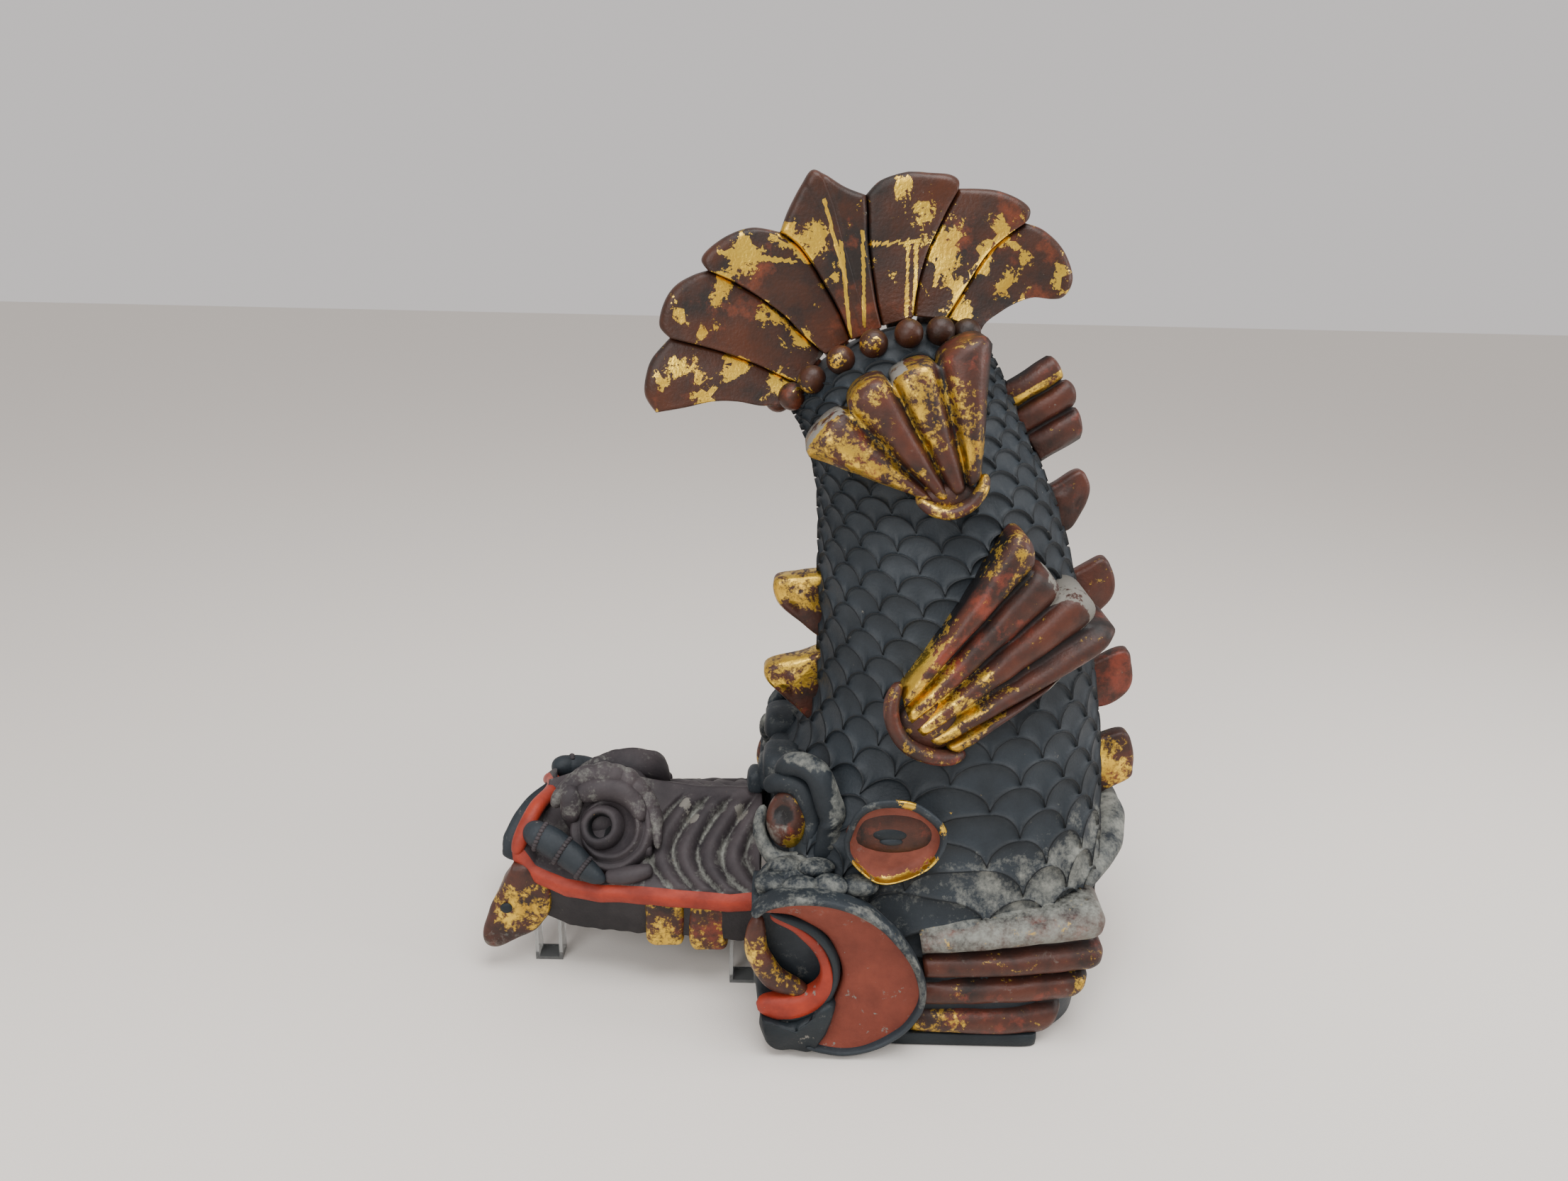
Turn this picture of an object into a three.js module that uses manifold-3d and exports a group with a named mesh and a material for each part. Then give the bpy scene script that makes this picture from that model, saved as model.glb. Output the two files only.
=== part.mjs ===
// Shachihoko roof ornament: a fired clay fish that stands on its head with the tail raised.
// Millimetres, +Z up, snout towards -X, near side towards -Y. The work is mirrored about y = 0.
import * as THREE from 'three';
import { mergeVertices } from 'three/addons/utils/BufferGeometryUtils.js';
import Module from 'manifold-3d';

// Driving sizes
const tileHeight = 666;          // ground to the top of the tail fan
const gillHalfWidth = 173.5;     // centre plane to the rim of a gill disc
const gillRadius = 71;
const gillCentre = [29, 70];     // x, z
const gillDish = 14;             // depth of the hollow face of a gill disc
const gillRim = 7;
const gillSeat = 45;             // a gill disc is rooted this deep in the cheek
const scalesAround = 19;
const scaleLift = 2.6;           // how far the free edge of a scale stands proud
const scaleSink = 1.2;           // how deep the clay is cut just above a free edge
const scaleGap = 2.6;            // width of the cut above a free edge
const beadRadius = 10.5;
const fanProud = 14;             // half thickness of the tail fan at a lobe's free edge
const fanTucked = 9;             // half thickness where a lobe slips under the next one
const flapHalf = 8;              // half thickness of the belly flaps
const spikeHalf = 13;            // half thickness of the back spikes at their root
const jawGap = 5;                // open seam between the loose snout and the head
const propPlate = 3;             // thickness of the clear plates
const propWidth = 24;
const propDepth = 18;
const propInset = 28;            // lip edge to the middle of a prop, which clears the fang
const restGap = 0.3;             // clearance where the snout rests on its props
const headFace = -36;            // x of the head's flat front, which the snout faces across the seam
const lipHeight = 10;
const jawWall = 26;              // how far the inner wall hangs below the lip
const wallInset = 17;            // lip edge to the middle of that wall
const wallHalf = 7;
const palateRise = 8;
const wrinkleHalf = 5;
const fangShift = 15;            // the far fang reaches this much further forward
const facetTolerance = 1.0;      // facets flatter than this are merged
const clearReach = 60;           // how far a cut runs on past the clay
const drawnHeight = 666;         // the fan's outlines below are drawn for a tile of this height
const fanFoot = 562;             // above this they grow with the tile's height
const foldHeight = 600;          // above this the middle lobe thins

const wasm = await Module();
wasm.setup();

const v3 = (x, y, z) => new THREE.Vector3(x, y, z);
const lerp = THREE.MathUtils.lerp;

// Booleans

function solidOf(geometry) {
  const bare = geometry.index ? geometry.clone() : mergeVertices(geometry);
  bare.deleteAttribute('normal');
  bare.deleteAttribute('uv');
  const merged = mergeVertices(bare, 1e-3);
  const corners = [];
  const index = merged.index.array;
  for (let i = 0; i < index.length; i += 3) {
    const [a, b, c] = [index[i], index[i + 1], index[i + 2]];
    if (a !== b && b !== c && c !== a) corners.push(a, b, c);
  }
  return new wasm.Manifold(new wasm.Mesh({
    numProp: 3,
    vertProperties: new Float32Array(merged.attributes.position.array),
    triVerts: new Uint32Array(corners),
  }));
}

function geometryOf(solid) {
  const mesh = solid.getMesh();
  const geometry = new THREE.BufferGeometry();
  geometry.setAttribute('position', new THREE.BufferAttribute(new Float32Array(mesh.vertProperties), 3));
  geometry.setIndex(Array.from(mesh.triVerts));
  geometry.computeVertexNormals();
  return geometry;
}

function joinAll(solids) {
  return solids.reduce((sum, next) => sum.add(next));
}

// Drops the slivers that a join or cut leaves behind.
function largestPiece(solid) {
  return solid.decompose().reduce((best, next) => (next.volume() > best.volume() ? next : best));
}

// Merges facets that are flatter than the carving.
function tidied(solid) {
  return largestPiece(solid.simplify(facetTolerance));
}

function mirrored(geometry) {
  const copy = geometry.clone();
  copy.scale(1, -1, 1);
  const index = Array.from(copy.index.array);
  for (let i = 0; i < index.length; i += 3) [index[i], index[i + 1]] = [index[i + 1], index[i]];
  copy.setIndex(index);
  return copy;
}

function bothSides(geometry) {
  return solidOf(geometry).add(solidOf(mirrored(geometry)));
}

// Shape builders

function closedMesh(points, corners) {
  const geometry = new THREE.BufferGeometry();
  const numbers = points.flatMap((p) => [p.x, p.y, p.z]);
  geometry.setAttribute('position', new THREE.Float32BufferAttribute(numbers, 3));
  let volume = 0;
  for (let i = 0; i < corners.length; i += 3) {
    const [a, b, c] = [points[corners[i]], points[corners[i + 1]], points[corners[i + 2]]];
    volume += a.dot(b.clone().cross(c));
  }
  const outward = volume > 0 ? corners : corners.map((_, i) => corners[i - (i % 3) + (2 - (i % 3))]);
  geometry.setIndex(outward);
  return geometry;
}

// Skins a stack of rings that all have the same number of points, and closes both ends with a fan.
// A quad that is crossed is cut along its other diagonal.
function loft(rings, crossed = () => false) {
  const size = rings[0].length;
  const points = rings.flat();
  const corners = [];
  for (let r = 0; r + 1 < rings.length; r++) {
    for (let i = 0; i < size; i++) {
      const next = (i + 1) % size;
      const [a, b] = [r * size + i, r * size + next];
      if (crossed(r, i)) corners.push(a, b, a + size, b, b + size, a + size);
      else corners.push(a, b, b + size, a, b + size, a + size);
    }
  }
  for (const [ring, flip] of [[0, true], [rings.length - 1, false]]) {
    const middle = rings[ring].reduce((sum, p) => sum.add(p), v3(0, 0, 0)).divideScalar(size);
    points.push(middle);
    for (let i = 0; i < size; i++) {
      const [a, b] = [ring * size + i, ring * size + ((i + 1) % size)];
      corners.push(...(flip ? [b, a, points.length - 1] : [a, b, points.length - 1]));
    }
  }
  return closedMesh(points, corners);
}

// A flat form in the x-z plane with its own half thickness at each outline point.
function plate(outline, halfAt) {
  const flat = outline.map(([x, z]) => new THREE.Vector2(x, z));
  const faces = THREE.ShapeUtils.triangulateShape(flat, []);
  const count = outline.length;
  const near = outline.map(([x, z], i) => v3(x, -halfAt(x, z, i), z));
  const far = outline.map(([x, z], i) => v3(x, halfAt(x, z, i), z));
  const corners = [];
  for (const [a, b, c] of faces) corners.push(a, b, c, count + c, count + b, count + a);
  const clockwise = THREE.ShapeUtils.isClockWise(flat);
  for (let i = 0; i < count; i++) {
    const next = (i + 1) % count;
    const side = [i, count + i, count + next, i, count + next, next];
    corners.push(...(clockwise ? side.reverse() : side));
  }
  return closedMesh([...near, ...far], corners);
}

// A tapered bar along a smooth path. Each path row is x, y, z, half width, half height.
function bar(path, sides, steps, broad = v3(0, 0, 1)) {
  const curve = new THREE.CatmullRomCurve3(path.map(([x, y, z]) => v3(x, y, z)));
  const rings = [];
  for (let s = 0; s <= steps; s++) {
    const t = s / steps;
    const at = curve.getPoint(t);
    const along = curve.getTangent(t);
    const wide = broad.clone().cross(along).normalize();
    const tall = along.clone().cross(wide).normalize();
    const place = t * (path.length - 1);
    const low = Math.min(Math.floor(place), path.length - 2);
    const halfWide = lerp(path[low][3], path[low + 1][3], place - low);
    const halfTall = lerp(path[low][4], path[low + 1][4], place - low);
    const ring = [];
    for (let i = 0; i < sides; i++) {
      const angle = (2 * Math.PI * (i + 0.5)) / sides;
      ring.push(at.clone()
        .addScaledVector(wide, halfWide * Math.cos(angle))
        .addScaledVector(tall, halfTall * Math.sin(angle)));
    }
    rings.push(ring);
  }
  return loft(rings);
}

function ball([x, y, z], [rx, ry, rz], around, rows) {
  const geometry = new THREE.SphereGeometry(1, around, rows);
  geometry.scale(rx, ry, rz);
  geometry.translate(x, y, z);
  return geometry;
}

function block([x0, y0, z0], [x1, y1, z1]) {
  const geometry = new THREE.BoxGeometry(x1 - x0, y1 - y0, z1 - z0);
  geometry.translate((x0 + x1) / 2, (y0 + y1) / 2, (z0 + z1) / 2);
  return geometry;
}

function smoothLine(points, count) {
  const curve = new THREE.SplineCurve(points.map(([x, z]) => new THREE.Vector2(x, z)));
  return curve.getPoints(count).map((p) => [p.x, p.y]);
}

// Trunk: stations from the ground to the bead row. Each row holds the back point x, z, the belly
// point x, z, the half depth, the sag of the scale rows on the flank and the squareness.
const trunkStations = [
  [-30, -20, 235, -20, 146, 0, 3.5],
  [-32, 60, 240, 50, 148, 15, 3.8],
  [-33, 125, 245, 105, 144, 25, 3.6],
  [-30, 168, 247, 150, 135, 25, 3.4],
  [-22, 196, 247, 187, 128, 18, 2.9],
  [-4, 220, 246, 217, 122, 8, 2.5],
  [3, 255, 242, 250, 117, 3, 2.3],
  [4, 292, 234, 290, 112, 0, 2.2],
  [3, 328, 223, 328, 106, 0, 2.2],
  [2, 362, 211, 364, 99, 0, 2.2],
  [1, 395, 199, 402, 92, 0, 2.1],
  [-1, 425, 183, 438, 85, 0, 2.1],
  [-7, 452, 165, 472, 76, 0, 2.0],
  [-15, 474, 150, 502, 66, -5, 2.0],
  [-24, 490, 136, 527, 54, -13, 2.0],
  [-24, 500, 122, 546, 38, -22, 2.0],
  [0, 518, 104, 552, 20, -14, 2.0],
  [20, 535, 88, 556, 6, -6, 2.0],
];
const beadStation = 15;
const firstScaleStation = 1.3;
const rowShare = 0.49;           // height of a scale row as a share of a scale's width

function stationAt(u) {
  const last = trunkStations.length - 1;
  const low = Math.min(Math.floor(u), last - 1);
  const t = u - low;
  const pick = (i) => trunkStations[Math.min(Math.max(i, 0), last)];
  return pick(low).map((_, k) => {
    const [a, b, c, d] = [pick(low - 1)[k], pick(low)[k], pick(low + 1)[k], pick(low + 2)[k]];
    const bend = (2 * a - 5 * b + 4 * c - d) * t * t + (3 * b - a - 3 * c + d) * t ** 3;
    return 0.5 * (2 * b + (c - a) * t + bend);
  });
}

// Angle 0 is the belly line, half a turn is the back line, and the near flank lies between them.
function trunkPoint(u, angle) {
  const [backX, backZ, bellyX, bellyZ, depth, sag, square] = stationAt(u);
  const power = 2 / square;
  const across = Math.sign(Math.cos(angle)) * Math.abs(Math.cos(angle)) ** power;
  const aside = Math.sign(Math.sin(angle)) * Math.abs(Math.sin(angle)) ** power;
  const half = v3((bellyX - backX) / 2, 0, (bellyZ - backZ) / 2);
  const down = v3(half.z, 0, -half.x).normalize();
  return v3((bellyX + backX) / 2, -depth * aside, (bellyZ + backZ) / 2)
    .addScaledVector(half, across)
    .addScaledVector(down, sag * Math.sin(angle) ** 2);
}

function trunkNormal(u, angle) {
  const step = 0.02;
  const along = trunkPoint(u + step, angle).sub(trunkPoint(u - step, angle));
  const round = trunkPoint(u, angle + step).sub(trunkPoint(u, angle - step));
  return along.cross(round).normalize().negate();
}

function ringLength(u) {
  let sum = 0;
  const steps = 24;
  for (let i = 0; i < steps; i++) {
    const a = trunkPoint(u, (2 * Math.PI * i) / steps);
    sum += a.distanceTo(trunkPoint(u, (2 * Math.PI * (i + 1)) / steps));
  }
  return sum;
}

// Stations of the scale rows, up to just under the beads.
function scaleRows() {
  const rows = [];
  let u = firstScaleStation;
  while (u < beadStation - 0.4) {
    rows.push(u);
    const wanted = (ringLength(u) / scalesAround) * rowShare;
    const flank = trunkPoint(u, Math.PI / 2).distanceTo(trunkPoint(u + 0.1, Math.PI / 2)) / 0.1;
    u += wanted / flank;
  }
  rows.push(u);
  return rows;
}

function raised(u, angle, lift) {
  return trunkPoint(u, angle).addScaledVector(trunkNormal(u, angle), lift);
}

function trunk() {
  const columns = 2 * scalesAround;
  const turns = Array.from({ length: columns }, (_, i) => (2 * Math.PI * i) / columns);
  const ringAt = (pointAt) => turns.map((angle, i) => pointAt(i, angle));
  const rings = [0, 0.6].map((u) => ringAt((i, angle) => trunkPoint(u, angle)));
  const rows = scaleRows();
  for (let r = 0; r + 1 < rows.length; r++) {
    const [low, high] = [rows[r], rows[r + 1]];
    const span = trunkPoint(low, Math.PI / 2).distanceTo(trunkPoint(high, Math.PI / 2));
    const cut = ((high - low) * scaleGap) / span;
    const isTip = (i) => (i + r) % 2 === 0;
    const edgeAt = (i) => (isTip(i) ? high - cut : low);
    rings.push(ringAt((i, angle) => raised(edgeAt(i), angle, isTip(i) ? scaleLift : -scaleSink)));
  }
  for (const u of [beadStation, beadStation + 1, beadStation + 1.95]) {
    rings.push(ringAt((i, angle) => trunkPoint(u, angle)));
  }
  return solidOf(loft(rings, (r, i) => (r + i) % 2 === 0));
}

// Tail fan: seven lobes, each slipping under its neighbour nearer the middle.
const fanRoot = [
  [-30, 492], [-19, 508], [1, 532], [21, 543], [45, 554], [69, 562], [94, 561], [122, 553],
];

function grownUp([x, z]) {
  const share = (z - fanFoot) / (drawnHeight - fanFoot);
  return [x, z > fanFoot ? lerp(fanFoot, tileHeight, share) : z];
}

function tailFan() {
  const rootInside = [60, 520];
  const lobes = [
    // lowest left, second left, third left: outer edge from the free side to the tucked side
    [
      [[-30, 492], [-66, 493], [-105, 488], [-131, 482], [-139, 498], [-134, 524], [-119, 541]],
      fanRoot.slice(0, 2),
    ],
    [[[-119, 541], [-128, 549], [-124, 566], [-113, 581], [-89, 592]], fanRoot.slice(1, 3)],
    [[[-89, 592], [-94, 600], [-86, 611], [-70, 619], [-35, 623]], fanRoot.slice(2, 4)],
    // right, from the lowest up
    [
      [[122, 553], [128, 564], [150, 577], [180, 577], [189, 588], [181, 612], [149, 632]],
      fanRoot.slice(6, 8).reverse(),
    ],
    [[[149, 632], [152, 641], [138, 650], [111, 655], [97, 655]], fanRoot.slice(5, 7).reverse()],
    [[[97, 655], [95, 663], [75, drawnHeight], [52, 664], [29, 649]], fanRoot.slice(4, 6).reverse()],
  ];
  const solids = lobes.map(([outer, [a, b]]) => {
    const free = smoothLine(outer.map(grownUp), 8);
    const outline = [...free, b, rootInside, a];
    const half = (x, z, i) => (i > free.length * 0.62 && i <= free.length ? fanTucked : fanProud);
    return solidOf(plate(outline, half));
  });
  const middle = [
    [-35, 621], [-30, 635], [-20, 653], [-12, drawnHeight], [12, 655], [29, 649], [39, foldHeight],
    [45, 554], rootInside, [21, 543],
  ].map(grownUp);
  const fold = grownUp([0, foldHeight])[1];
  solids.push(solidOf(plate(middle, (x, z) => (z > fold ? fanProud - 1 : fanProud + 2))));
  return joinAll(solids);
}

// Beads along the joint of fan and trunk: x, distance from the centre plane, z.
const beadPlaces = [
  [-23, 19, 500], [-8, 30, 515], [13, 36, 531], [37, 39, 544], [63, 39, 552], [87, 35, 554], [108, 26, 552],
];

function beads() {
  const size = [beadRadius, beadRadius, beadRadius];
  const solids = [solidOf(ball([-34, 0, 495], size, 6, 3))];
  for (const [x, y, z] of beadPlaces) solids.push(bothSides(ball([x, -y, z], size, 6, 3)));
  return joinAll(solids);
}

// Side fins: rounded ribs that fan out of a cuff.
const upperFin = {
  root: [105, -100, 436],
  ribs: [
    [-4, -88, 488, 11, 12],
    [29, -88, 519, 12, 12],
    [62, -86, 532, 14, 12],
    [98, -84, 553, 12, 11],
  ],
  cuff: [[88, -96, 432, 9, 9], [105, -102, 421, 10, 10], [122, -96, 430, 9, 9]],
};
const lowerFin = {
  root: [82, -124, 272],
  ribs: [
    [143, -104, 421, 10, 11],
    [162, -101, 390, 11, 12],
    [198, -98, 369, 11, 12],
    [218, -96, 340, 9, 11],
    [172, -108, 290, 10, 11],
  ],
  cuff: [[60, -122, 292, 9, 9], [66, -127, 262, 10, 10], [100, -122, 244, 9, 9]],
};

function sideFin({ root, ribs, cuff }) {
  const solids = ribs.map(([x, y, z, wide, tall]) => {
    const bend = lerp(root[0], x, 0.5) - (x - root[0]) * 0.04;
    const path = [
      [root[0], root[1], root[2], wide * 0.6, tall * 0.8],
      [bend, lerp(root[1], y, 0.5) - 3, lerp(root[2], z, 0.5), wide, tall],
      [lerp(root[0], x, 0.9), lerp(root[1], y, 0.9), lerp(root[2], z, 0.9), wide * 1.1, tall * 0.9],
      [x, y, z, wide * 0.5, tall * 0.5],
    ];
    return solidOf(bar(path, 4, 3, v3(0, 1, 0)));
  });
  solids.push(solidOf(bar(cuff, 4, 2, v3(0, 1, 0))));
  solids.push(solidOf(webUnder(root, ribs)));
  return joinAll(solids);
}

// A thin web of clay that carries the ribs and reaches down into the trunk.
function webUnder(root, ribs) {
  const corners = [root, ...ribs];
  const top = corners.map(([x, y, z]) => v3(x, y + 4, z));
  const low = corners.map(([x, y, z]) => v3(lerp(x, root[0], 0.1), y + 60, lerp(z, root[2], 0.1)));
  return loft([top, low]);
}

function sideFins() {
  return joinAll([upperFin, lowerFin].map((fin) => {
    const near = sideFin(fin);
    const copy = geometryOf(near);
    return near.add(solidOf(mirrored(copy)));
  }));
}

// Belly flaps, the ribbed belly fin above them and the back spikes, all on the centre plane.
function centreFins() {
  const flaps = [
    [[180, 424], [191, 431], [210, 443], [218, 437], [221, 426], [216, 410], [206, 393], [185, 395]],
    [[205, 350], [216, 357], [237, 370], [246, 361], [251, 343], [245, 329], [231, 317], [208, 318]],
    [[225, 270], [240, 277], [266, 289], [273, 275], [275, 258], [268, 245], [249, 234], [228, 236]],
    [[232, 200], [250, 205], [274, 211], [283, 198], [286, 180], [284, 166], [253, 150], [232, 152]],
    [[225, 64], [240, 66], [262, 60], [268, 40], [264, 16], [240, 10], [225, 12]],
  ];
  const halfAt = (outline) => (x) => (x < outline[1][0] ? flapHalf + 4 : flapHalf);
  const solids = flaps.map((outline) => solidOf(plate(outline, halfAt(outline))));
  const ribLength = [[142, 497, 184, 527], [153, 482, 194, 509], [166, 464, 199, 489]];
  for (const [x0, z0, x1, z1] of ribLength) {
    const path = [
      [x0 - 8, 0, z0 - 6, 10, 12],
      [lerp(x0, x1, 0.55), 0, lerp(z0, z1, 0.5), 11, 11],
      [x1, 0, z1, 9, 8],
    ];
    solids.push(solidOf(bar(path, 6, 3, v3(0, 1, 0))));
  }
  const spikes = [
    [[8, 355], [-33, 345], [-32, 326], [8, 296]],
    [[8, 285], [-40, 268], [-38, 252], [5, 214]],
  ];
  for (const outline of spikes) {
    solids.push(solidOf(plate(outline, (x) => (x < 0 ? spikeHalf * 0.55 : spikeHalf))));
  }
  return joinAll(solids);
}

// Head: gill discs with the mouth, eyes, brows, crest and ears.
function gillDisc() {
  const inner = gillHalfWidth - gillSeat;
  const face = gillHalfWidth - gillDish;
  const profile = [
    [0, inner], [gillRadius - 8, inner], [gillRadius, face], [gillRadius, gillHalfWidth - 3],
    [gillRadius - 3, gillHalfWidth], [gillRadius - gillRim, gillHalfWidth - 2],
    [gillRadius * 0.6, face + 5], [0, face],
  ];
  const geometry = new THREE.LatheGeometry(profile.map(([r, y]) => new THREE.Vector2(r, y)), 18);
  geometry.rotateX(Math.PI);
  geometry.translate(gillCentre[0], 0, gillCentre[1]);
  return mergeVertices(geometry);
}

function mouthHollow() {
  const outline = [[-60, 107], [-20, 105], [6, 94], [19, 76], [14, 58], [-4, 48], [-60, 46]];
  return solidOf(plate(smoothLine(outline, 12), () => gillHalfWidth + 5));
}

function headForms() {
  const eye = ball([-18, -92, 162], [17, 15, 25], 8, 4);
  const browIn = bar([
    [-30, -60, 186, 6, 8], [-14, -84, 195, 7, 9], [4, -96, 176, 7, 9], [18, -100, 142, 6, 8],
  ], 4, 4);
  const browOut = bar([
    [-4, -62, 212, 7, 9], [10, -88, 208, 9, 11], [26, -102, 178, 9, 11], [22, -104, 140, 6, 8],
  ], 4, 4);
  const lid = bar([
    [-38, -90, 166, 5, 7], [-34, -98, 145, 6, 8], [-12, -106, 134, 6, 8], [18, -112, 142, 5, 7],
  ], 4, 3);
  const cheek = ball([-4, -116, 120], [32, 30, 22], 6, 4);
  const pieces = [eye, browIn, browOut, lid, cheek].map(bothSides);
  const crest = [
    block([-36, -20, 160], [-4, 20, 194]),
    block([-46, -16, 150], [-24, 16, 178]),
    block([-54, -12, 144], [-40, 12, 166]),
  ];
  return joinAll([...pieces, ...crest.map(solidOf)]);
}

function ears() {
  const place = [68, -122, 176];
  const shell = bothSides(ball(place, [45, 24, 40], 12, 6));
  const hollow = bothSides(ball([place[0], place[1] - 22, place[2] - 2], [36, 20, 27], 10, 5));
  const slit = bothSides(ball([place[0] - 2, place[1] - 6, place[2] + 4], [15, 14, 6], 6, 4));
  return { shell, hollow: hollow.add(slit) };
}

// Rim that runs from the pectoral fins up over the belly, where the scales end.
function hem() {
  const half = [
    [100, -138, 108, 6, 9], [150, -140, 104, 7, 10], [192, -122, 108, 9, 11], [228, -92, 122, 10, 13],
    [250, -58, 132, 10, 14], [261, -28, 140, 10, 14], [264, 0, 142, 10, 14],
  ];
  const whole = [...half, ...half.slice(0, -1).reverse().map(([x, y, z, w, h]) => [x, -y, z, w, h])];
  return solidOf(bar(whole, 5, 14, v3(0, 0, 1)));
}

// Pectoral fin: four level ribs on a thick plate, standing on a low foot.
function pectoralFins() {
  const back = -118;
  const face = -150;
  const outline = [
    [84, 112], [129, 122], [167, 125], [226, 128], [232, 110],
    [231, 84], [222, 56], [205, 30], [184, 12], [84, 12],
  ];
  const sheet = plate(outline, () => (back - face) / 2);
  sheet.translate(0, (back + face) / 2, 0);
  const ribs = [
    [[92, 112, 9], [160, 119, 11], [228, 120, 10]],
    [[92, 90, 8], [160, 93, 10], [231, 96, 9]],
    [[92, 62, 8], [160, 66, 11], [226, 69, 9]],
    [[92, 34, 8], [150, 32, 12], [200, 38, 10]],
  ].map((line) => bar(line.map(([x, z, r]) => [x, face + 1, z, r, 9]), 5, 3, v3(0, 1, 0)));
  const foot = block([60, -155, 0], [187, -100, 14]);
  return joinAll([sheet, ...ribs, foot].map(bothSides));
}

function bellyBands() {
  const levels = [44, 72, 100];
  return joinAll(levels.map((z) => solidOf(bar([
    [222, -70, z, 8, 9], [243, -36, z, 8, 9], [248, 0, z, 8, 9],
    [243, 36, z, 8, 9], [222, 70, z, 8, 9],
  ], 5, 4))));
}

function tileBody() {
  const { shell, hollow } = ears();
  const grown = joinAll([
    trunk(), tailFan(), beads(), sideFins(), centreFins(), headForms(), shell,
    bothSides(gillDisc()), hem(), pectoralFins(), bellyBands(),
  ]);
  const wide = 2 * gillHalfWidth + clearReach;
  const below = solidOf(block([-wide, -wide, -wide], [wide, wide, 0]));
  const tongue = bothSides(bar([
    [-34, -138, 112, 7, 5], [-38, -146, 84, 9, 5], [-24, -150, 56, 9, 5], [12, -150, 52, 4, 4],
  ], 6, 4));
  return grown.subtract(mouthHollow()).subtract(hollow).subtract(jawRoom()).add(tongue).subtract(below);
}

// Loose snout. Each station: x, half width at the lip, height of the lip's lower edge, ridge height.
const jawStations = [
  [-252, 66, 104, 138],
  [-232, 74, 90, 150],
  [-205, 82, 83, 160],
  [-175, 88, 82, 158],
  [-140, 94, 85, 152],
  [-100, 98, 85, 147],
  [-65, 101, 84, 146],
  [-45, 102, 87, 147],
];
const jawRear = headFace - jawGap;

function jawStation(x) {
  const last = jawStations.length - 1;
  let low = 0;
  while (low < last - 1 && jawStations[low + 1][0] < x) low += 1;
  const [a, b] = [jawStations[low], jawStations[low + 1]];
  const t = (x - a[0]) / (b[0] - a[0]);
  return a.map((value, k) => lerp(value, b[k], t));
}

function wallBottom(x) {
  return jawStation(x)[2] - jawWall;
}

// Near side of the snout, from the lip at share 0 to the ridge at share 1.
function jawSide(x, share, out = 0) {
  const [, half, lip, ridge] = jawStation(x);
  const low = lip + lipHeight + 4;
  return v3(x, -(half - 5) * (1 - share) - out * 0.5, lerp(low, ridge, share) + out * 0.8);
}

function jawShell() {
  const rings = [...jawStations.map(([x]) => x).slice(0, -1), jawRear].map((x, k) => {
    const [, half, lip, ridge] = jawStation(x);
    const wall = k === 0 ? lip - 2 : wallBottom(x);
    const palate = lip + palateRise;
    const nearHalf = [
      [-(half * 0.55), palate - 4], [-(half - wallInset - wallHalf), wall],
      [-(half - wallInset + wallHalf), wall], [-(half - 6), lip], [-half, lip + 1],
      [-(half + 1), lip + lipHeight], [-(half - 5), lip + lipHeight + 4],
    ];
    const side = [0.3, 0.6, 0.85].map((share) => jawSide(x, share)).map((p) => [p.y, p.z]);
    const left = [...nearHalf, ...side];
    const ring = [[0, palate], ...left, [0, ridge], ...left.slice().reverse().map(([y, z]) => [-y, z])];
    return ring.map(([y, z]) => {
      if (k > 0) return v3(x, y, z);
      const arch = 1 - Math.min(1, Math.abs(y) / half) ** 2;
      return v3(x + 25 * arch, y, z + (z < ridge - 8 ? 34 * arch * (1 - (z - lip) / 60) : 0));
    });
  });
  return solidOf(loft(rings));
}

// The room that the loose snout needs, with the open seam all round it.
function jawRoom() {
  const places = [jawStations[0][0] - clearReach, ...jawStations.map(([x]) => x).slice(1, -1), headFace];
  const rings = places.map((x) => {
    const [, half, lip, ridge] = jawStation(x);
    const clearance = jawGap + wrinkleHalf;
    const side = [0, 0.3, 0.6, 0.85].map((share) => jawSide(x, share, clearance)).map((p) => [p.y, p.z]);
    const left = [[-(half + jawGap), lip - clearReach], [-(half + jawGap), lip + lipHeight], ...side];
    const ring = [...left, [0, ridge + jawGap], ...left.slice().reverse().map(([y, z]) => [-y, z])];
    return ring.map(([y, z]) => v3(x, y, z));
  });
  return solidOf(loft(rings));
}

function jawWrinkles() {
  const tops = [-110, -84, -64, -44];
  return joinAll(tops.map((top) => {
    const spots = [[top, 0.85], [top - 14, 0.6], [top - 20, 0.38], [top - 12, 0.15], [top - 1, 0.02]];
    const path = spots.map(([x, share]) => {
      const p = jawSide(Math.min(x, jawRear - 8), share, 1);
      return [p.x, p.y, p.z, wrinkleHalf, wrinkleHalf];
    });
    return bothSides(bar(path, 4, 3, v3(0, -1, 0.4)));
  }));
}

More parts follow.
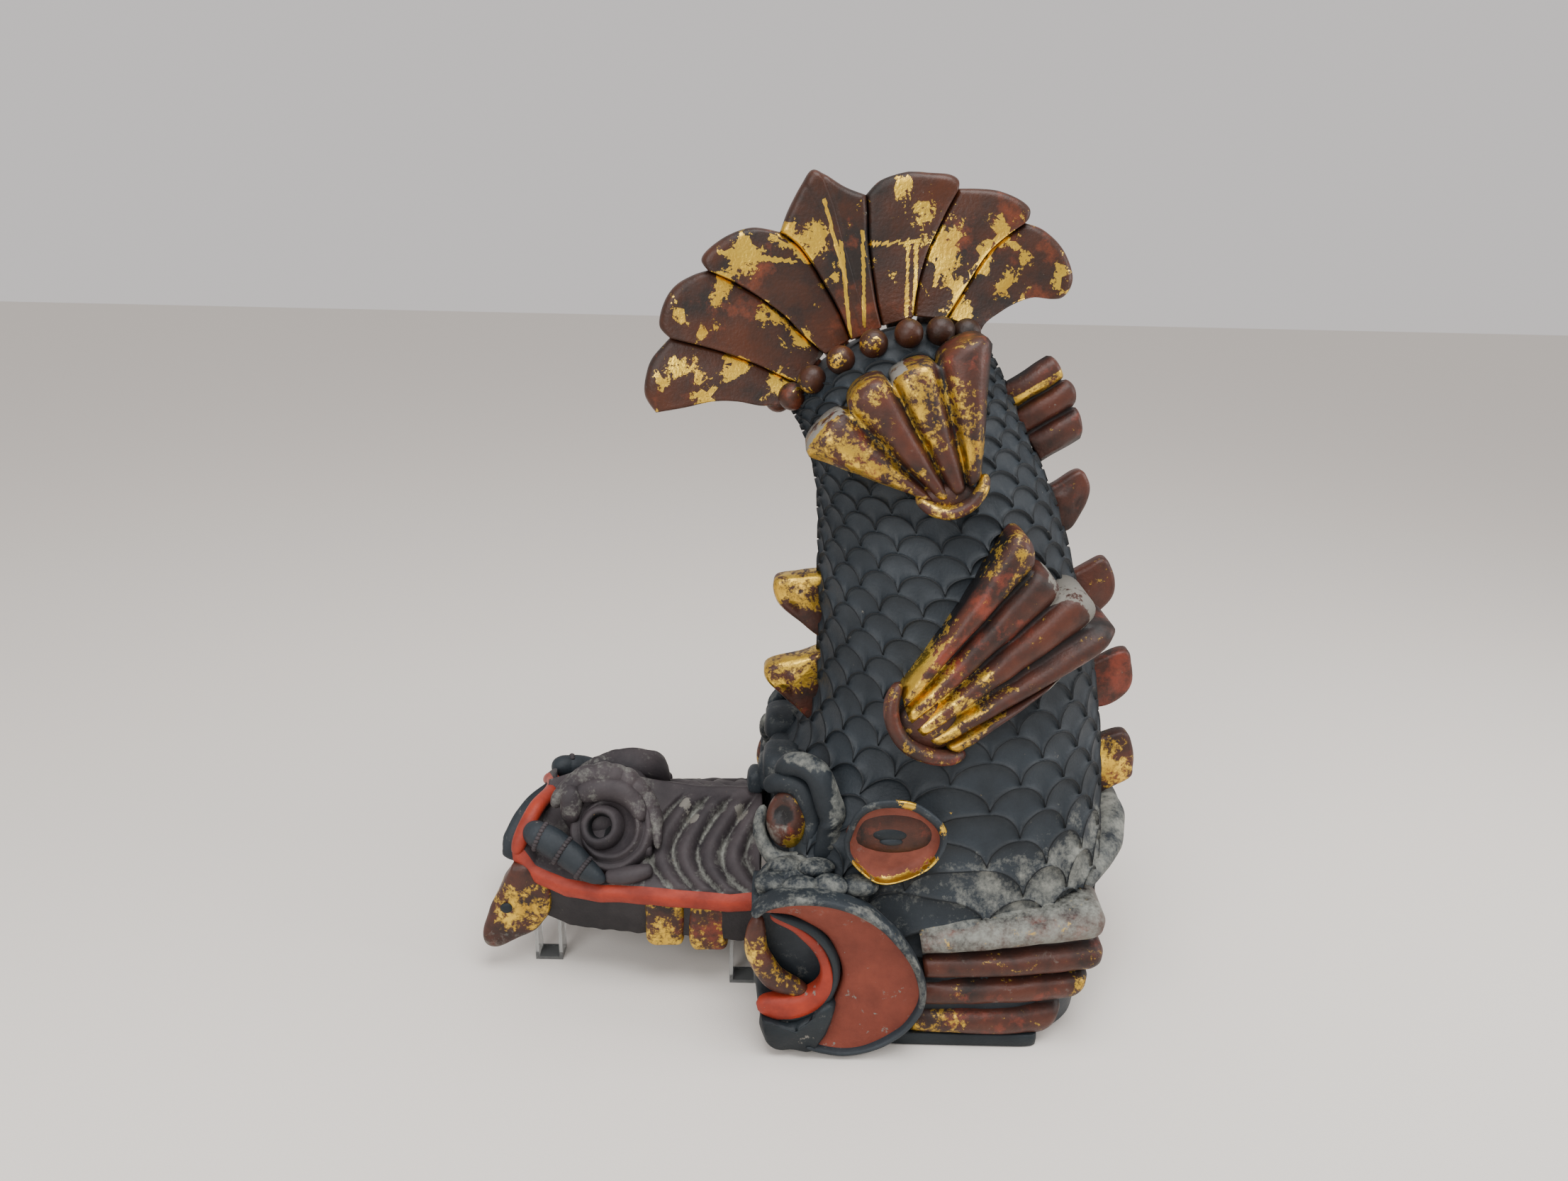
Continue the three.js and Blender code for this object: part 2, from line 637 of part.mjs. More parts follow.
function jawNose() {
  const bulge = bothSides(ball([-165, -60, 134], [32, 24, 28], 8, 5));
  const mass = ball([-182, 0, 132], [42, 56, 29], 10, 6);
  const rim = new THREE.TorusGeometry(22, 5, 4, 8);
  rim.rotateX(Math.PI / 2 - 0.35);
  rim.translate(-166, -82, 134);
  const ruff = bar([
    [-222, -42, 138, 9, 9], [-206, -38, 152, 11, 10], [-182, -34, 161, 12, 10], [-156, -36, 160, 11, 10],
    [-137, -46, 150, 10, 9], [-130, -58, 134, 8, 8],
  ], 4, 5, v3(0, 1, 0));
  const whisker = bar([
    [-240, -66, 120, 8, 8], [-220, -76, 122, 14, 12], [-196, -86, 112, 12, 11], [-168, -94, 98, 6, 6],
  ], 4, 3, v3(0, 1, 0));
  const hole = bothSides(ball([-168, -86, 136], [9, 12, 9], 6, 4));
  const rims = bothSides(mergeVertices(rim));
  const grown = joinAll([bulge, solidOf(mass), rims, bothSides(ruff), bothSides(whisker)]);
  return { grown, hole };
}

function fang(shift) {
  return bar([
    [-232, -60, 108, 20, 8], [-242, -65, 84, 27, 8], [-248 - shift * 0.5, -67.5, 60, 26, 8],
    [-262 - shift, -68, 41, 14, 7], [-266 - shift, -68, 35, 9, 5],
  ], 6, 4, v3(0, 1, 0));
}

function molars() {
  return joinAll([[-137, -104, 42, 92], [-100, -67, 37, 90]].map(([x0, x1, z0, z1]) => (
    bothSides(block([x0, -92, z0], [x1, -70, z1]))
  )));
}

function upperJaw() {
  const { grown, hole } = jawNose();
  const nearFang = solidOf(fang(0));
  const farFang = solidOf(mirrored(fang(fangShift)));
  return joinAll([jawShell(), jawWrinkles(), grown, nearFang, farFang, molars()]).subtract(hole);
}

// Clear cradles: a floor plate with two uprights that end just under the wall of the snout.
const propPlaces = [['front', -228], ['rear', -54]];

function propUnder(x, sign) {
  const [, half] = jawStation(x);
  const y = sign * (half - propInset);
  const [front, rear] = [y - propDepth / 2, y + propDepth / 2];
  const [low, high] = [x - propWidth / 2, x + propWidth / 2];
  const top = Math.min(wallBottom(low), wallBottom(x), wallBottom(high)) - restGap;
  return joinAll([
    block([low, front, 0], [high, rear, propPlate]),
    block([low, front, 0], [low + propPlate, rear, top]),
    block([high - propPlate, front, 0], [high, rear, top]),
  ].map(solidOf));
}

const clay = new THREE.MeshStandardMaterial({ color: 0x33383c, roughness: 0.75, metalness: 0 });
const jawClay = new THREE.MeshStandardMaterial({ color: 0x3c3739, roughness: 0.8, metalness: 0 });
const acrylic = new THREE.MeshStandardMaterial({
  color: 0xe8eef0, roughness: 0.05, metalness: 0, transparent: true, opacity: 0.3,
});

function named(name, solid, material) {
  const mesh = new THREE.Mesh(geometryOf(solid), material);
  mesh.name = name;
  return mesh;
}

const part = new THREE.Group();
part.add(named('tile_body', tidied(tileBody()), clay));
part.add(named('upper_jaw', tidied(upperJaw()), jawClay));
for (const [place, x] of propPlaces) {
  part.add(named(`jaw_prop_${place}_near`, propUnder(x, -1), acrylic));
  part.add(named(`jaw_prop_${place}_far`, propUnder(x, 1), acrylic));
}

// The origin is under the middle of the whole part, on the ground.
const extent = new THREE.Box3().setFromObject(part);
part.position.set(-(extent.min.x + extent.max.x) / 2, -(extent.min.y + extent.max.y) / 2, -extent.min.z);

export default part;
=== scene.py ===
import math

import bpy
import numpy as np
from mathutils import Matrix, Vector, noise


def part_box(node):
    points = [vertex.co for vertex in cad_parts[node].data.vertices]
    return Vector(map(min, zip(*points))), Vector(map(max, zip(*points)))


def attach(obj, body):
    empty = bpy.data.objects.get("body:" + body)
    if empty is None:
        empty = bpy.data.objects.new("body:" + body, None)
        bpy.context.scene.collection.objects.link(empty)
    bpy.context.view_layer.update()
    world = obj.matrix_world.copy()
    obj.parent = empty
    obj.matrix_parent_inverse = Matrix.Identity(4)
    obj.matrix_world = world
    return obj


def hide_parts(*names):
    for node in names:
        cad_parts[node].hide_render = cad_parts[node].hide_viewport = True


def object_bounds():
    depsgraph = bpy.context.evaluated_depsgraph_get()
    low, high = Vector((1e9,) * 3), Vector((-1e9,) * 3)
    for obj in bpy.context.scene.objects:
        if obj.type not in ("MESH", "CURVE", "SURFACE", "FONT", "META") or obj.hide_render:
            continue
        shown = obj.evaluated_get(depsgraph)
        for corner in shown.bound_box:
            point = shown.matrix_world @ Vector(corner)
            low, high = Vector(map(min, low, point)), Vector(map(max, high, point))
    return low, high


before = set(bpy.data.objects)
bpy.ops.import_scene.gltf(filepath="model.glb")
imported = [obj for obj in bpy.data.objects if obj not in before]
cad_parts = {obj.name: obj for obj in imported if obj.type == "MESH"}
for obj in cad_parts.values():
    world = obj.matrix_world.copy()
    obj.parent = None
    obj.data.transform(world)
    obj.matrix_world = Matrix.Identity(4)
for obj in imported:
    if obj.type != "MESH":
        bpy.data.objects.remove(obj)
cadLow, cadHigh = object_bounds()
noise.seed_set(11)  # the unevenness of the clay is the same on every run

# Lengths in the dictionaries below are millimetres, with the snout towards -X and z up.
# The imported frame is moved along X, and the front prop shows by how much.
propFrontEdge = -240.0
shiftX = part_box("jaw_prop_front_near")[0].x - propFrontEdge * 0.001


def metres(p):
    return Vector((p[0] * 0.001 + shiftX, p[1] * 0.001, p[2] * 0.001))


def placed(name, data):
    thing = bpy.data.objects.new(name, data)
    bpy.context.collection.objects.link(thing)
    return thing


# Camera at the photo's angle

view = {
    "position": (-26.0, -890.0, 640.0),
    "pitchDown": 19.0,
    "roll": 1.25,
    "focalPixels": 1575.0,
    "imageWidth": 2212.0,
    "sensor": 36.0,
}


def makeCamera():
    pitch = math.radians(view["pitchDown"])
    roll = math.radians(view["roll"])
    forward = Vector((0, math.cos(pitch), -math.sin(pitch)))
    right0 = Vector((1, 0, 0))
    up0 = right0.cross(forward)
    right = right0 * math.cos(roll) + up0 * math.sin(roll)
    up = up0 * math.cos(roll) - right0 * math.sin(roll)
    data = bpy.data.cameras.new("camera")
    data.sensor_width = view["sensor"]
    data.lens = view["focalPixels"] / view["imageWidth"] * view["sensor"]
    camera = placed("camera", data)
    turn = Matrix((right, up, -forward)).transposed()
    camera.matrix_world = Matrix.Translation(metres(view["position"])) @ turn.to_4x4()
    bpy.context.scene.camera = camera


makeCamera()

# Stage

stage = {
    "floorHalf": 6000, "floorColour": (0.80, 0.755, 0.70), "floorRoughness": 0.9,
    "weaveScale": 900, "weaveStrength": 0.15, "weaveDepth": 1.0,
    "skyColour": (0.93, 0.89, 0.88), "skyStrength": 0.8,
}


def newMaterial(name):
    material = bpy.data.materials.new(name)
    material.use_nodes = True
    tree = material.node_tree
    return material, tree, tree.nodes["Principled BSDF"]


def makeStage():
    half = stage["floorHalf"]
    mesh = bpy.data.meshes.new("floor")
    corners = [metres((x, y, 0)) for x, y in ((-half, -half), (half, -half), (half, half), (-half, half))]
    mesh.from_pydata(corners, [], [(0, 1, 2, 3)])
    floor = placed("floor", mesh)
    cloth, tree, shader = newMaterial("floorCloth")
    shader.inputs["Base Color"].default_value = (*stage["floorColour"], 1)
    shader.inputs["Roughness"].default_value = stage["floorRoughness"]
    weave = tree.nodes.new("ShaderNodeTexNoise")
    weave.inputs["Scale"].default_value = stage["weaveScale"]
    where = tree.nodes.new("ShaderNodeTexCoord")
    bump = tree.nodes.new("ShaderNodeBump")
    bump.inputs["Strength"].default_value = stage["weaveStrength"]
    bump.inputs["Distance"].default_value = stage["weaveDepth"] * 0.001
    tree.links.new(where.outputs["Object"], weave.inputs["Vector"])
    tree.links.new(weave.outputs["Fac"], bump.inputs["Height"])
    tree.links.new(bump.outputs["Normal"], shader.inputs["Normal"])
    mesh.materials.append(cloth)
    world = bpy.data.worlds.new("sky")
    world.use_nodes = True
    sky = world.node_tree.nodes["Background"]
    sky.inputs["Color"].default_value = (*stage["skyColour"], 1)
    sky.inputs["Strength"].default_value = stage["skyStrength"]
    bpy.context.scene.world = world


lamps = {
    "overhead": {"at": (150, -500, 1900), "aim": (0, 0, 250), "size": 1200, "power": 32},
    "front": {"at": (-900, -1500, 1100), "aim": (0, 0, 250), "size": 900, "power": 16},
    "side": {"at": (1500, -300, 900), "aim": (50, 0, 300), "size": 700, "power": 11},
}


def makeLamps():
    for name, lamp in lamps.items():
        data = bpy.data.lights.new(name, "AREA")
        data.energy = lamp["power"]
        data.size = lamp["size"] * 0.001
        thing = placed(name, data)
        thing.location = metres(lamp["at"])
        aim = metres(lamp["aim"]) - thing.location
        thing.rotation_mode = "QUATERNION"
        thing.rotation_quaternion = aim.to_track_quat("-Z", "Y")


makeStage()
makeLamps()
print("stage ready")

# Materials. Vertex values named gold, dust and chip say how much of each a place carries, and the fourth vertex
# value says how much painted shade darkens a place in grooves, gaps and holes.


def node(tree, kind, **values):
    made = tree.nodes.new(kind)
    for key, value in values.items():
        setattr(made, key, value)
    return made


def link(tree, source, target):
    tree.links.new(source, target)


def feed(tree, value, target):
    if isinstance(value, tuple):
        target.default_value = (*value, 1)
    elif isinstance(value, (int, float)):
        target.default_value = value
    else:
        link(tree, value, target)


def mixColour(tree, mask, under, over):
    mix = node(tree, "ShaderNodeMix", data_type="RGBA")  # colours are inputs 6 and 7 and output 2
    feed(tree, mask, mix.inputs[0])
    feed(tree, under, mix.inputs[6])
    feed(tree, over, mix.inputs[7])
    return mix.outputs[2]


def mixValue(tree, mask, under, over):
    mix = node(tree, "ShaderNodeMix", data_type="FLOAT")  # values are inputs 2 and 3 and output 0
    feed(tree, mask, mix.inputs[0])
    feed(tree, under, mix.inputs[2])
    feed(tree, over, mix.inputs[3])
    return mix.outputs[0]


def reckon(tree, operation, first, second, **values):
    made = node(tree, "ShaderNodeMath", operation=operation, **values)
    feed(tree, first, made.inputs[0])
    feed(tree, second, made.inputs[1])
    return made.outputs[0]


def cloudy(tree, scale, detail=8, roughness=0.62, fromLow=0.36, fromHigh=0.64, toLow=0.0, toHigh=1.0):
    where = node(tree, "ShaderNodeTexCoord")
    grain = node(tree, "ShaderNodeTexNoise")
    grain.inputs["Detail"].default_value = detail
    grain.inputs["Roughness"].default_value = roughness
    link(tree, where.outputs["Object"], grain.inputs["Vector"])
    feed(tree, scale, grain.inputs["Scale"])
    spread = node(tree, "ShaderNodeMapRange")
    limits = {"From Min": fromLow, "From Max": fromHigh, "To Min": toLow, "To Max": toHigh}
    for name, value in limits.items():
        spread.inputs[name].default_value = value
    link(tree, grain.outputs["Fac"], spread.inputs["Value"])
    return spread.outputs["Result"]


wear = {"cellsPerPatch": 2.6, "fleckScale": 380, "fleckSpread": 0.14}


def makeWearMask():
    group = bpy.data.node_groups.new("wearMask", "ShaderNodeTree")
    for name in ("Amount", "Scale", "Softness", "Shards"):
        group.interface.new_socket(name, in_out="INPUT", socket_type="NodeSocketFloat")
    group.interface.new_socket("Mask", in_out="OUTPUT", socket_type="NodeSocketFloat")
    inner = node(group, "NodeGroupInput")
    outer = node(group, "NodeGroupOutput")
    grain = cloudy(group, inner.outputs["Scale"], 10, 0.72, 0.32, 0.68)
    where = node(group, "ShaderNodeTexCoord")
    cells = node(group, "ShaderNodeTexVoronoi")
    link(group, where.outputs["Object"], cells.inputs["Vector"])
    cellScale = reckon(group, "MULTIPLY", inner.outputs["Scale"], wear["cellsPerPatch"])
    link(group, cellScale, cells.inputs["Scale"])
    red = node(group, "ShaderNodeSeparateColor")
    link(group, cells.outputs["Color"], red.inputs[0])
    torn = mixValue(group, inner.outputs["Shards"], grain, red.outputs[0])
    spread = wear["fleckSpread"]
    fleck = cloudy(group, wear["fleckScale"], 4, 0.6, 0.3, 0.7, -spread, spread)
    total = reckon(group, "ADD", reckon(group, "ADD", torn, fleck), inner.outputs["Amount"])
    over = reckon(group, "SUBTRACT", total, 1.0)
    share = reckon(group, "DIVIDE", over, inner.outputs["Softness"], use_clamp=True)
    link(group, share, outer.inputs["Mask"])
    return group


wearMask = makeWearMask()


def maskOf(tree, attribute, scale, softness, shards=0.0):
    value = node(tree, "ShaderNodeAttribute", attribute_name=attribute)
    mask = node(tree, "ShaderNodeGroup", node_tree=wearMask)
    mask.inputs["Scale"].default_value = scale
    mask.inputs["Softness"].default_value = softness
    mask.inputs["Shards"].default_value = shards
    link(tree, value.outputs["Fac"], mask.inputs["Amount"])
    return mask.outputs["Mask"]


common = {
    "dustColour": (0.215, 0.220, 0.195), "dustMask": (55, 0.75), "dustRough": 0.92,
    "goldBright": (0.86, 0.57, 0.075), "goldDeep": (0.50, 0.29, 0.04),
    "goldPatch": 30, "goldRough": (0.26, 0.44),
    "chipColour": (0.17, 0.16, 0.14), "chipMask": (60, 0.12), "chipRough": 0.95,
    # near black colour of the painted shade in grooves, gaps and holes
    "paintedShadeColour": (0.004, 0.005, 0.006),
    "gloss": 0.32, "grainScale": 420, "grainStrength": 0.55, "grainDepth": 0.6,
}


def paint(name, base, dark, roughness, accent=None, patchScale=14, leaf=(42, 0.10, 0.25)):
    material, tree, shader = newMaterial(name)
    shader.inputs["Specular IOR Level"].default_value = common["gloss"]
    patches = cloudy(tree, patchScale)
    colour = mixColour(tree, patches, dark, base)
    if accent:
        colour = mixColour(tree, cloudy(tree, patchScale * 0.6 + 3, 9, 0.7, 0.55, 0.66), colour, accent)
    # painted shade: this vertex value pulls the colour towards near black in grooves, gaps and holes
    groove = node(tree, "ShaderNodeAttribute", attribute_name="groove")
    colour = mixColour(tree, groove.outputs["Fac"], colour, common["paintedShadeColour"])
    dust = maskOf(tree, "dust", *common["dustMask"])
    gold = maskOf(tree, "gold", *leaf)
    chip = maskOf(tree, "chip", *common["chipMask"])
    leafTone = cloudy(tree, common["goldPatch"], 6)
    leafColour = mixColour(tree, leafTone, common["goldDeep"], common["goldBright"])
    colour = mixColour(tree, dust, colour, common["dustColour"])
    colour = mixColour(tree, gold, colour, leafColour)
    colour = mixColour(tree, chip, colour, common["chipColour"])
    link(tree, colour, shader.inputs["Base Color"])
    goldSmooth, goldWorn = common["goldRough"]
    rough = mixValue(tree, patches, roughness + 0.08, roughness - 0.06)
    rough = mixValue(tree, dust, rough, common["dustRough"])
    rough = mixValue(tree, gold, rough, mixValue(tree, leafTone, goldWorn, goldSmooth))
    rough = mixValue(tree, chip, rough, common["chipRough"])
    link(tree, rough, shader.inputs["Roughness"])
    metal = mixValue(tree, chip, mixValue(tree, gold, 0.0, 1.0), 0.0)
    link(tree, metal, shader.inputs["Metallic"])
    grain = cloudy(tree, common["grainScale"], 5, 0.5, 0.0, 1.0)
    height = reckon(tree, "ADD", grain, cloudy(tree, patchScale, 8, 0.62, 0.0, 1.0))
    bump = node(tree, "ShaderNodeBump")
    bump.inputs["Strength"].default_value = common["grainStrength"]
    bump.inputs["Distance"].default_value = common["grainDepth"] * 0.001
    link(tree, height, bump.inputs["Height"])
    link(tree, bump.outputs["Normal"], shader.inputs["Normal"])
    return material


# Leaf gives the scale of the worn gold, how softly it ends and how far it breaks into shards.
finishes = {
    "smokedClay": {"base": (0.022, 0.029, 0.036), "dark": (0.010, 0.014, 0.018), "roughness": 0.56},
    "snoutClay": {"base": (0.056, 0.045, 0.048), "dark": (0.022, 0.019, 0.022), "roughness": 0.62},
    "oxbloodLacquer": {"base": (0.064, 0.019, 0.008), "dark": (0.014, 0.009, 0.007), "roughness": 0.42,
                       "accent": (0.150, 0.034, 0.013), "patchScale": 22, "leaf": (38, 0.06, 0.42)},
    "finLacquer": {"base": (0.080, 0.024, 0.014), "dark": (0.018, 0.011, 0.009), "roughness": 0.45,
                   "accent": (0.185, 0.036, 0.019), "patchScale": 30, "leaf": (70, 0.28, 0.15)},
    "vermilionLip": {"base": (0.345, 0.034, 0.013), "dark": (0.205, 0.023, 0.012), "roughness": 0.52,
                     "patchScale": 40},
    "brickGill": {"base": (0.200, 0.042, 0.023), "dark": (0.130, 0.029, 0.018), "roughness": 0.68,
                  "patchScale": 26},
    "earBrick": {"base": (0.230, 0.060, 0.036), "dark": (0.130, 0.034, 0.022), "roughness": 0.58,
                 "patchScale": 30},
    # dark slate for the gill band, the stump and the dot on the fang, and painted shade for the ear holes and
    # the foot under the pectoral fins
    "darkSlateAndShade": {"base": (0.012, 0.018, 0.022), "dark": (0.006, 0.009, 0.012), "roughness": 0.55},
}
clay, snoutClay, lacquer, finLacquer, vermilion, brick, earRed, slateAndShade = (
    paint(name, **values) for name, values in finishes.items())

clear = {"colour": (0.93, 0.96, 0.96), "ior": 1.49, "transmission": 0.9, "roughness": (0.02, 0.14)}


def makeAcrylic():
    material, tree, shader = newMaterial("clearAcrylic")
    shader.inputs["Base Color"].default_value = (*clear["colour"], 1)
    shader.inputs["IOR"].default_value = clear["ior"]
    shader.inputs["Transmission Weight"].default_value = clear["transmission"]
    link(tree, cloudy(tree, 60, 2, 0.5, 0.0, 1.0, *clear["roughness"]), shader.inputs["Roughness"])
    return material


acrylic = makeAcrylic()
print("materials ready")

# Mesh helpers. A shape is (points, faces, values): values maps a vertex value's name to a list.


def unit(v):
    return v / max(np.linalg.norm(v), 1e-9)


def between(a, b, c, d, t):  # smooth curve from b to c, with a before them and d after
    return 0.5 * (2 * b + (c - a) * t + (2 * a - 5 * b + 4 * c - d) * t * t
                  + (3 * b - a - 3 * c + d) * t ** 3)


def quarterRound(share):  # 0 at an edge, 1 from a share of 1 on
    return math.sqrt(max(0.0, 1 - (1 - min(share, 1)) ** 2))


def bell(value, centre, width):
    return math.exp(-((value - centre) / width) ** 2)


def spline(points, count):
    pts = np.array(points, float)
    last = len(pts) - 1
    out = []
    for s in np.linspace(0, last, count):
        i = min(int(s), last - 1)
        nearby = (pts[min(max(k, 0), last)] for k in (i - 1, i, i + 1, i + 2))
        out.append(between(*nearby, s - i))
    return np.array(out)


def sheetFaces(rows, columns, wrap=False, start=0, flip=False):
    faces = []
    for r in range(rows - 1):
        for c in range(columns if wrap else columns - 1):
            d = (c + 1) % columns
            quad = (start + r * columns + c, start + r * columns + d,
                    start + (r + 1) * columns + d, start + (r + 1) * columns + c)
            faces.append(quad[::-1] if flip else quad)
    return faces


def padFaces(rows, columns, flip=False):  # two sheets of points, joined all round their border
    count = rows * columns
    faces = sheetFaces(rows, columns, flip=flip) + sheetFaces(rows, columns, start=count, flip=not flip)
    border = list(range(columns)) + [r * columns + columns - 1 for r in range(1, rows)]
    border += [(rows - 1) * columns + c for c in range(columns - 2, -1, -1)]
    border += [r * columns for r in range(rows - 2, 0, -1)]
    for a, b in zip(border, border[1:] + border[:1]):
        faces.append((a, b, b + count, a + count) if flip else (b, a, a + count, b + count))
    return faces


def loft(rings):
    rows, columns = len(rings), len(rings[0])
    points = [p for ring in rings for p in ring]
    faces = sheetFaces(rows, columns, wrap=True)
    for r, flip in ((0, True), (rows - 1, False)):
        points.append(sum(np.array(rings[r])) / columns)
        for c in range(columns):
            tri = (r * columns + c, r * columns + (c + 1) % columns, len(points) - 1)
            faces.append(tri[::-1] if flip else tri)
    return points, faces, {}


def bar(path, sides, steps, broad=(0, 1, 0), power=1.0):
    rows = spline(path, steps)
    rings = []
    for i, row in enumerate(rows):
        along = unit(rows[min(i + 1, steps - 1)][:3] - rows[max(i - 1, 0)][:3])
        wide = unit(np.cross(np.array(broad, float), along))
        tall = unit(np.cross(along, wide))
        fromEnd = min(i, steps - 1 - i) / max(steps * 0.12, 1)
        close = max(quarterRound(fromEnd), 0.08)
        ring = []
        for k in range(sides):
            a = 2 * math.pi * (k + 0.5) / sides
            c, s = math.cos(a), math.sin(a)
            ring.append(row[:3] + wide * row[3] * close * math.copysign(abs(c) ** power, c)
                        + tall * row[4] * close * math.copysign(abs(s) ** power, s))
        rings.append(ring)
    return loft(rings)


def lathe(centre, axis, profile, around):
    axis = unit(np.array(axis, float))
    side = unit(np.cross(axis, (0.0, 0.0, 1.0)))
    up = np.cross(side, axis)
    turn = [2 * math.pi * k / around for k in range(around)]
    rings = []
    for r, h in profile:
        middle = np.array(centre) + axis * h
        rings.append([middle + (side * math.cos(a) + up * math.sin(a)) * max(r, 0.05) for a in turn])
    return loft(rings)


def ball(centre, radii, around, rows, power=1.0):
    rings = []
    for i in range(rows + 1):
        b = math.pi * i / rows
        ring = []
        for k in range(around):
            a = 2 * math.pi * k / around
            out = (math.sin(b) * math.cos(a), math.sin(b) * math.sin(a), -math.cos(b))
            swollen = [math.copysign(abs(u) ** power, u) for u in out]
            ring.append(np.array([c + r * u for c, r, u in zip(centre, radii, swollen)]))
        rings.append(ring)
    return loft(rings)


def slab(outline, half, edge, count=72, bulge=0.0, offset=0.0):
    rim = spline(outline + [outline[0]], count + 1)[:-1]
    middle = rim.mean(axis=0)
    reach = np.linalg.norm(rim - middle, axis=1, keepdims=True)
    rings = []
    for sign in (-1, 1):
        made = []
        for inset, share in ((0.0, 0.55), (0.35, 0.86), (1.0, 1.0), (2.2, 1.0)):
            flat = rim + (middle - rim) / reach * np.minimum(inset * edge, reach * 0.6)
            made.append([np.array([x, offset + sign * half * share, z]) for x, z in flat])
        for pull in (0.45, 0.12):
            flat = middle + (rim - middle) * pull
            made.append([np.array([x, offset + sign * (half + bulge * (1 - pull)), z]) for x, z in flat])
        rings.append(made)
    return loft(rings[0][::-1] + rings[1])


def acrossY(points):
    return [np.array([p[0], -p[1], p[2]]) for p in points]


def mirrored(shape):
    points, faces, values = shape
    return acrossY(points), [tuple(f[::-1]) for f in faces], values


def both(*shapes):
    return [made for shape in shapes for made in (shape, mirrored(shape))]


def painted(material, shapes):
    return [(made, material) for made in shapes]


def mark(shape, **values):
    points, faces, old = shape
    new = dict(old)
    for name, value in values.items():
        new[name] = [value(p) if callable(value) else value for p in points]
    return points, faces, new


def uneven(shape, size, scale):
    points, faces, values = shape
    moved = [np.array(p) + np.array(noise.noise_vector(Vector(p) * scale)) * size for p in points]
    return moved, faces, values


def inBox(p):
    return Vector([min(max(p[k], cadLow[k]), cadHigh[k]) for k in range(3)])


valueNames = ("gold", "dust", "chip", "groove")


def addValues(mesh, values):
    for name in valueNames:
        layer = mesh.attributes.new(name, "FLOAT", "POINT")
        layer.data.foreach_set("value", values[name])


def piece(name, shapes, material=None):
    points, faces, slots = [], [], []
    values = {key: [] for key in valueNames}
    materials = []
    for entry in shapes:
        shape, paintOf = entry if isinstance(entry[0], tuple) else (entry, material)
        if paintOf not in materials:
            materials.append(paintOf)
        start = len(points)
        points += [inBox(metres(p)) for p in shape[0]]
        faces += [tuple(i + start for i in f) for f in shape[1]]
        slots += [materials.index(paintOf)] * len(shape[1])
        for key in values:
            values[key] += shape[2].get(key, [0.0] * len(shape[0]))
    mesh = bpy.data.meshes.new(name)
    mesh.from_pydata(points, [], faces)
    for made in materials:
        mesh.materials.append(made)
    mesh.polygons.foreach_set("material_index", slots)
    mesh.polygons.foreach_set("use_smooth", [True] * len(faces))
    addValues(mesh, values)
    thing = placed(name, mesh)
    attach(thing, "root")
    return thing


def hump(p, spots):
    total = sum(amount * bell(p[0], x, radius) * bell(p[2], z, radius) for x, z, radius, amount in spots)
    return min(total, 1.0)


# Trunk with its scales. Stations run from the ground to the bead row, each with the back point x, z,
# the belly point x, z, the half depth, the sag of the scale rows on the flank and the squareness.

trunk = {
    "stations": [
        (-30, -20, 235, -20, 146, 0, 3.5), (-32, 60, 240, 50, 148, 15, 3.8),
        (-33, 125, 245, 105, 144, 25, 3.6), (-30, 168, 247, 150, 135, 25, 3.4),
        (-22, 196, 247, 187, 128, 18, 2.9), (-4, 220, 246, 217, 122, 8, 2.5),
        (3, 255, 242, 250, 117, 3, 2.3), (4, 292, 234, 290, 112, 0, 2.2),
        (3, 328, 223, 328, 106, 0, 2.2), (2, 362, 211, 364, 99, 0, 2.2),
        (1, 395, 199, 402, 92, 0, 2.1), (-1, 425, 183, 438, 85, 0, 2.1),
        (-7, 452, 165, 472, 76, 0, 2.0), (-15, 474, 150, 502, 66, -5, 2.0),
        (-24, 490, 136, 527, 54, -13, 2.0), (-24, 500, 122, 546, 38, -22, 2.0),
        (0, 518, 104, 552, 20, -14, 2.0), (20, 535, 88, 556, 6, -6, 2.0),
    ],
    "beadStation": 15.0,
    "firstScale": 1.3,
    "scalesAround": 19,
    "rowShare": 0.49,
    "cut": 2.6,
    "lip": 2.3,
    "sink": 1.4,
    "crown": 0.8,
    "samples": 9,
    # each profile row: share along the scale, lift and painted shade, darkest in the sunk groove where a scale
    # starts
    "profile": [(0.0, -1.0, 0.95), (0.05, -0.1, 0.35), (0.16, 0.45, 0), (0.4, 0.7, 0), (0.7, 0.9, 0),
                (0.92, 1.0, 0), (1.0, 0.75, 0)],
    "plainStations": (0.0, 0.45, 0.9, 1.2),
    "topSteps": (0.0, 1.0, 1.95),
    "dustSpots": [(-15, 118, 26, 0.62), (28, 112, 22, 0.5), (70, 128, 24, 0.5), (112, 138, 26, 0.55),
                  (150, 128, 36, 0.55), (200, 138, 42, 0.62), (235, 150, 40, 0.6), (-20, 190, 18, 0.4)],
}
flank = math.pi / 2


def stationAt(u):
    rows = np.array(trunk["stations"], float)
    last = len(rows) - 1
    u = np.asarray(u, float)
    i = np.clip(np.floor(u).astype(int), 0, last - 1)
    nearby = (rows[np.clip(i + k, 0, last)] for k in (-1, 0, 1, 2))
    return between(*nearby, (u - i)[..., None])


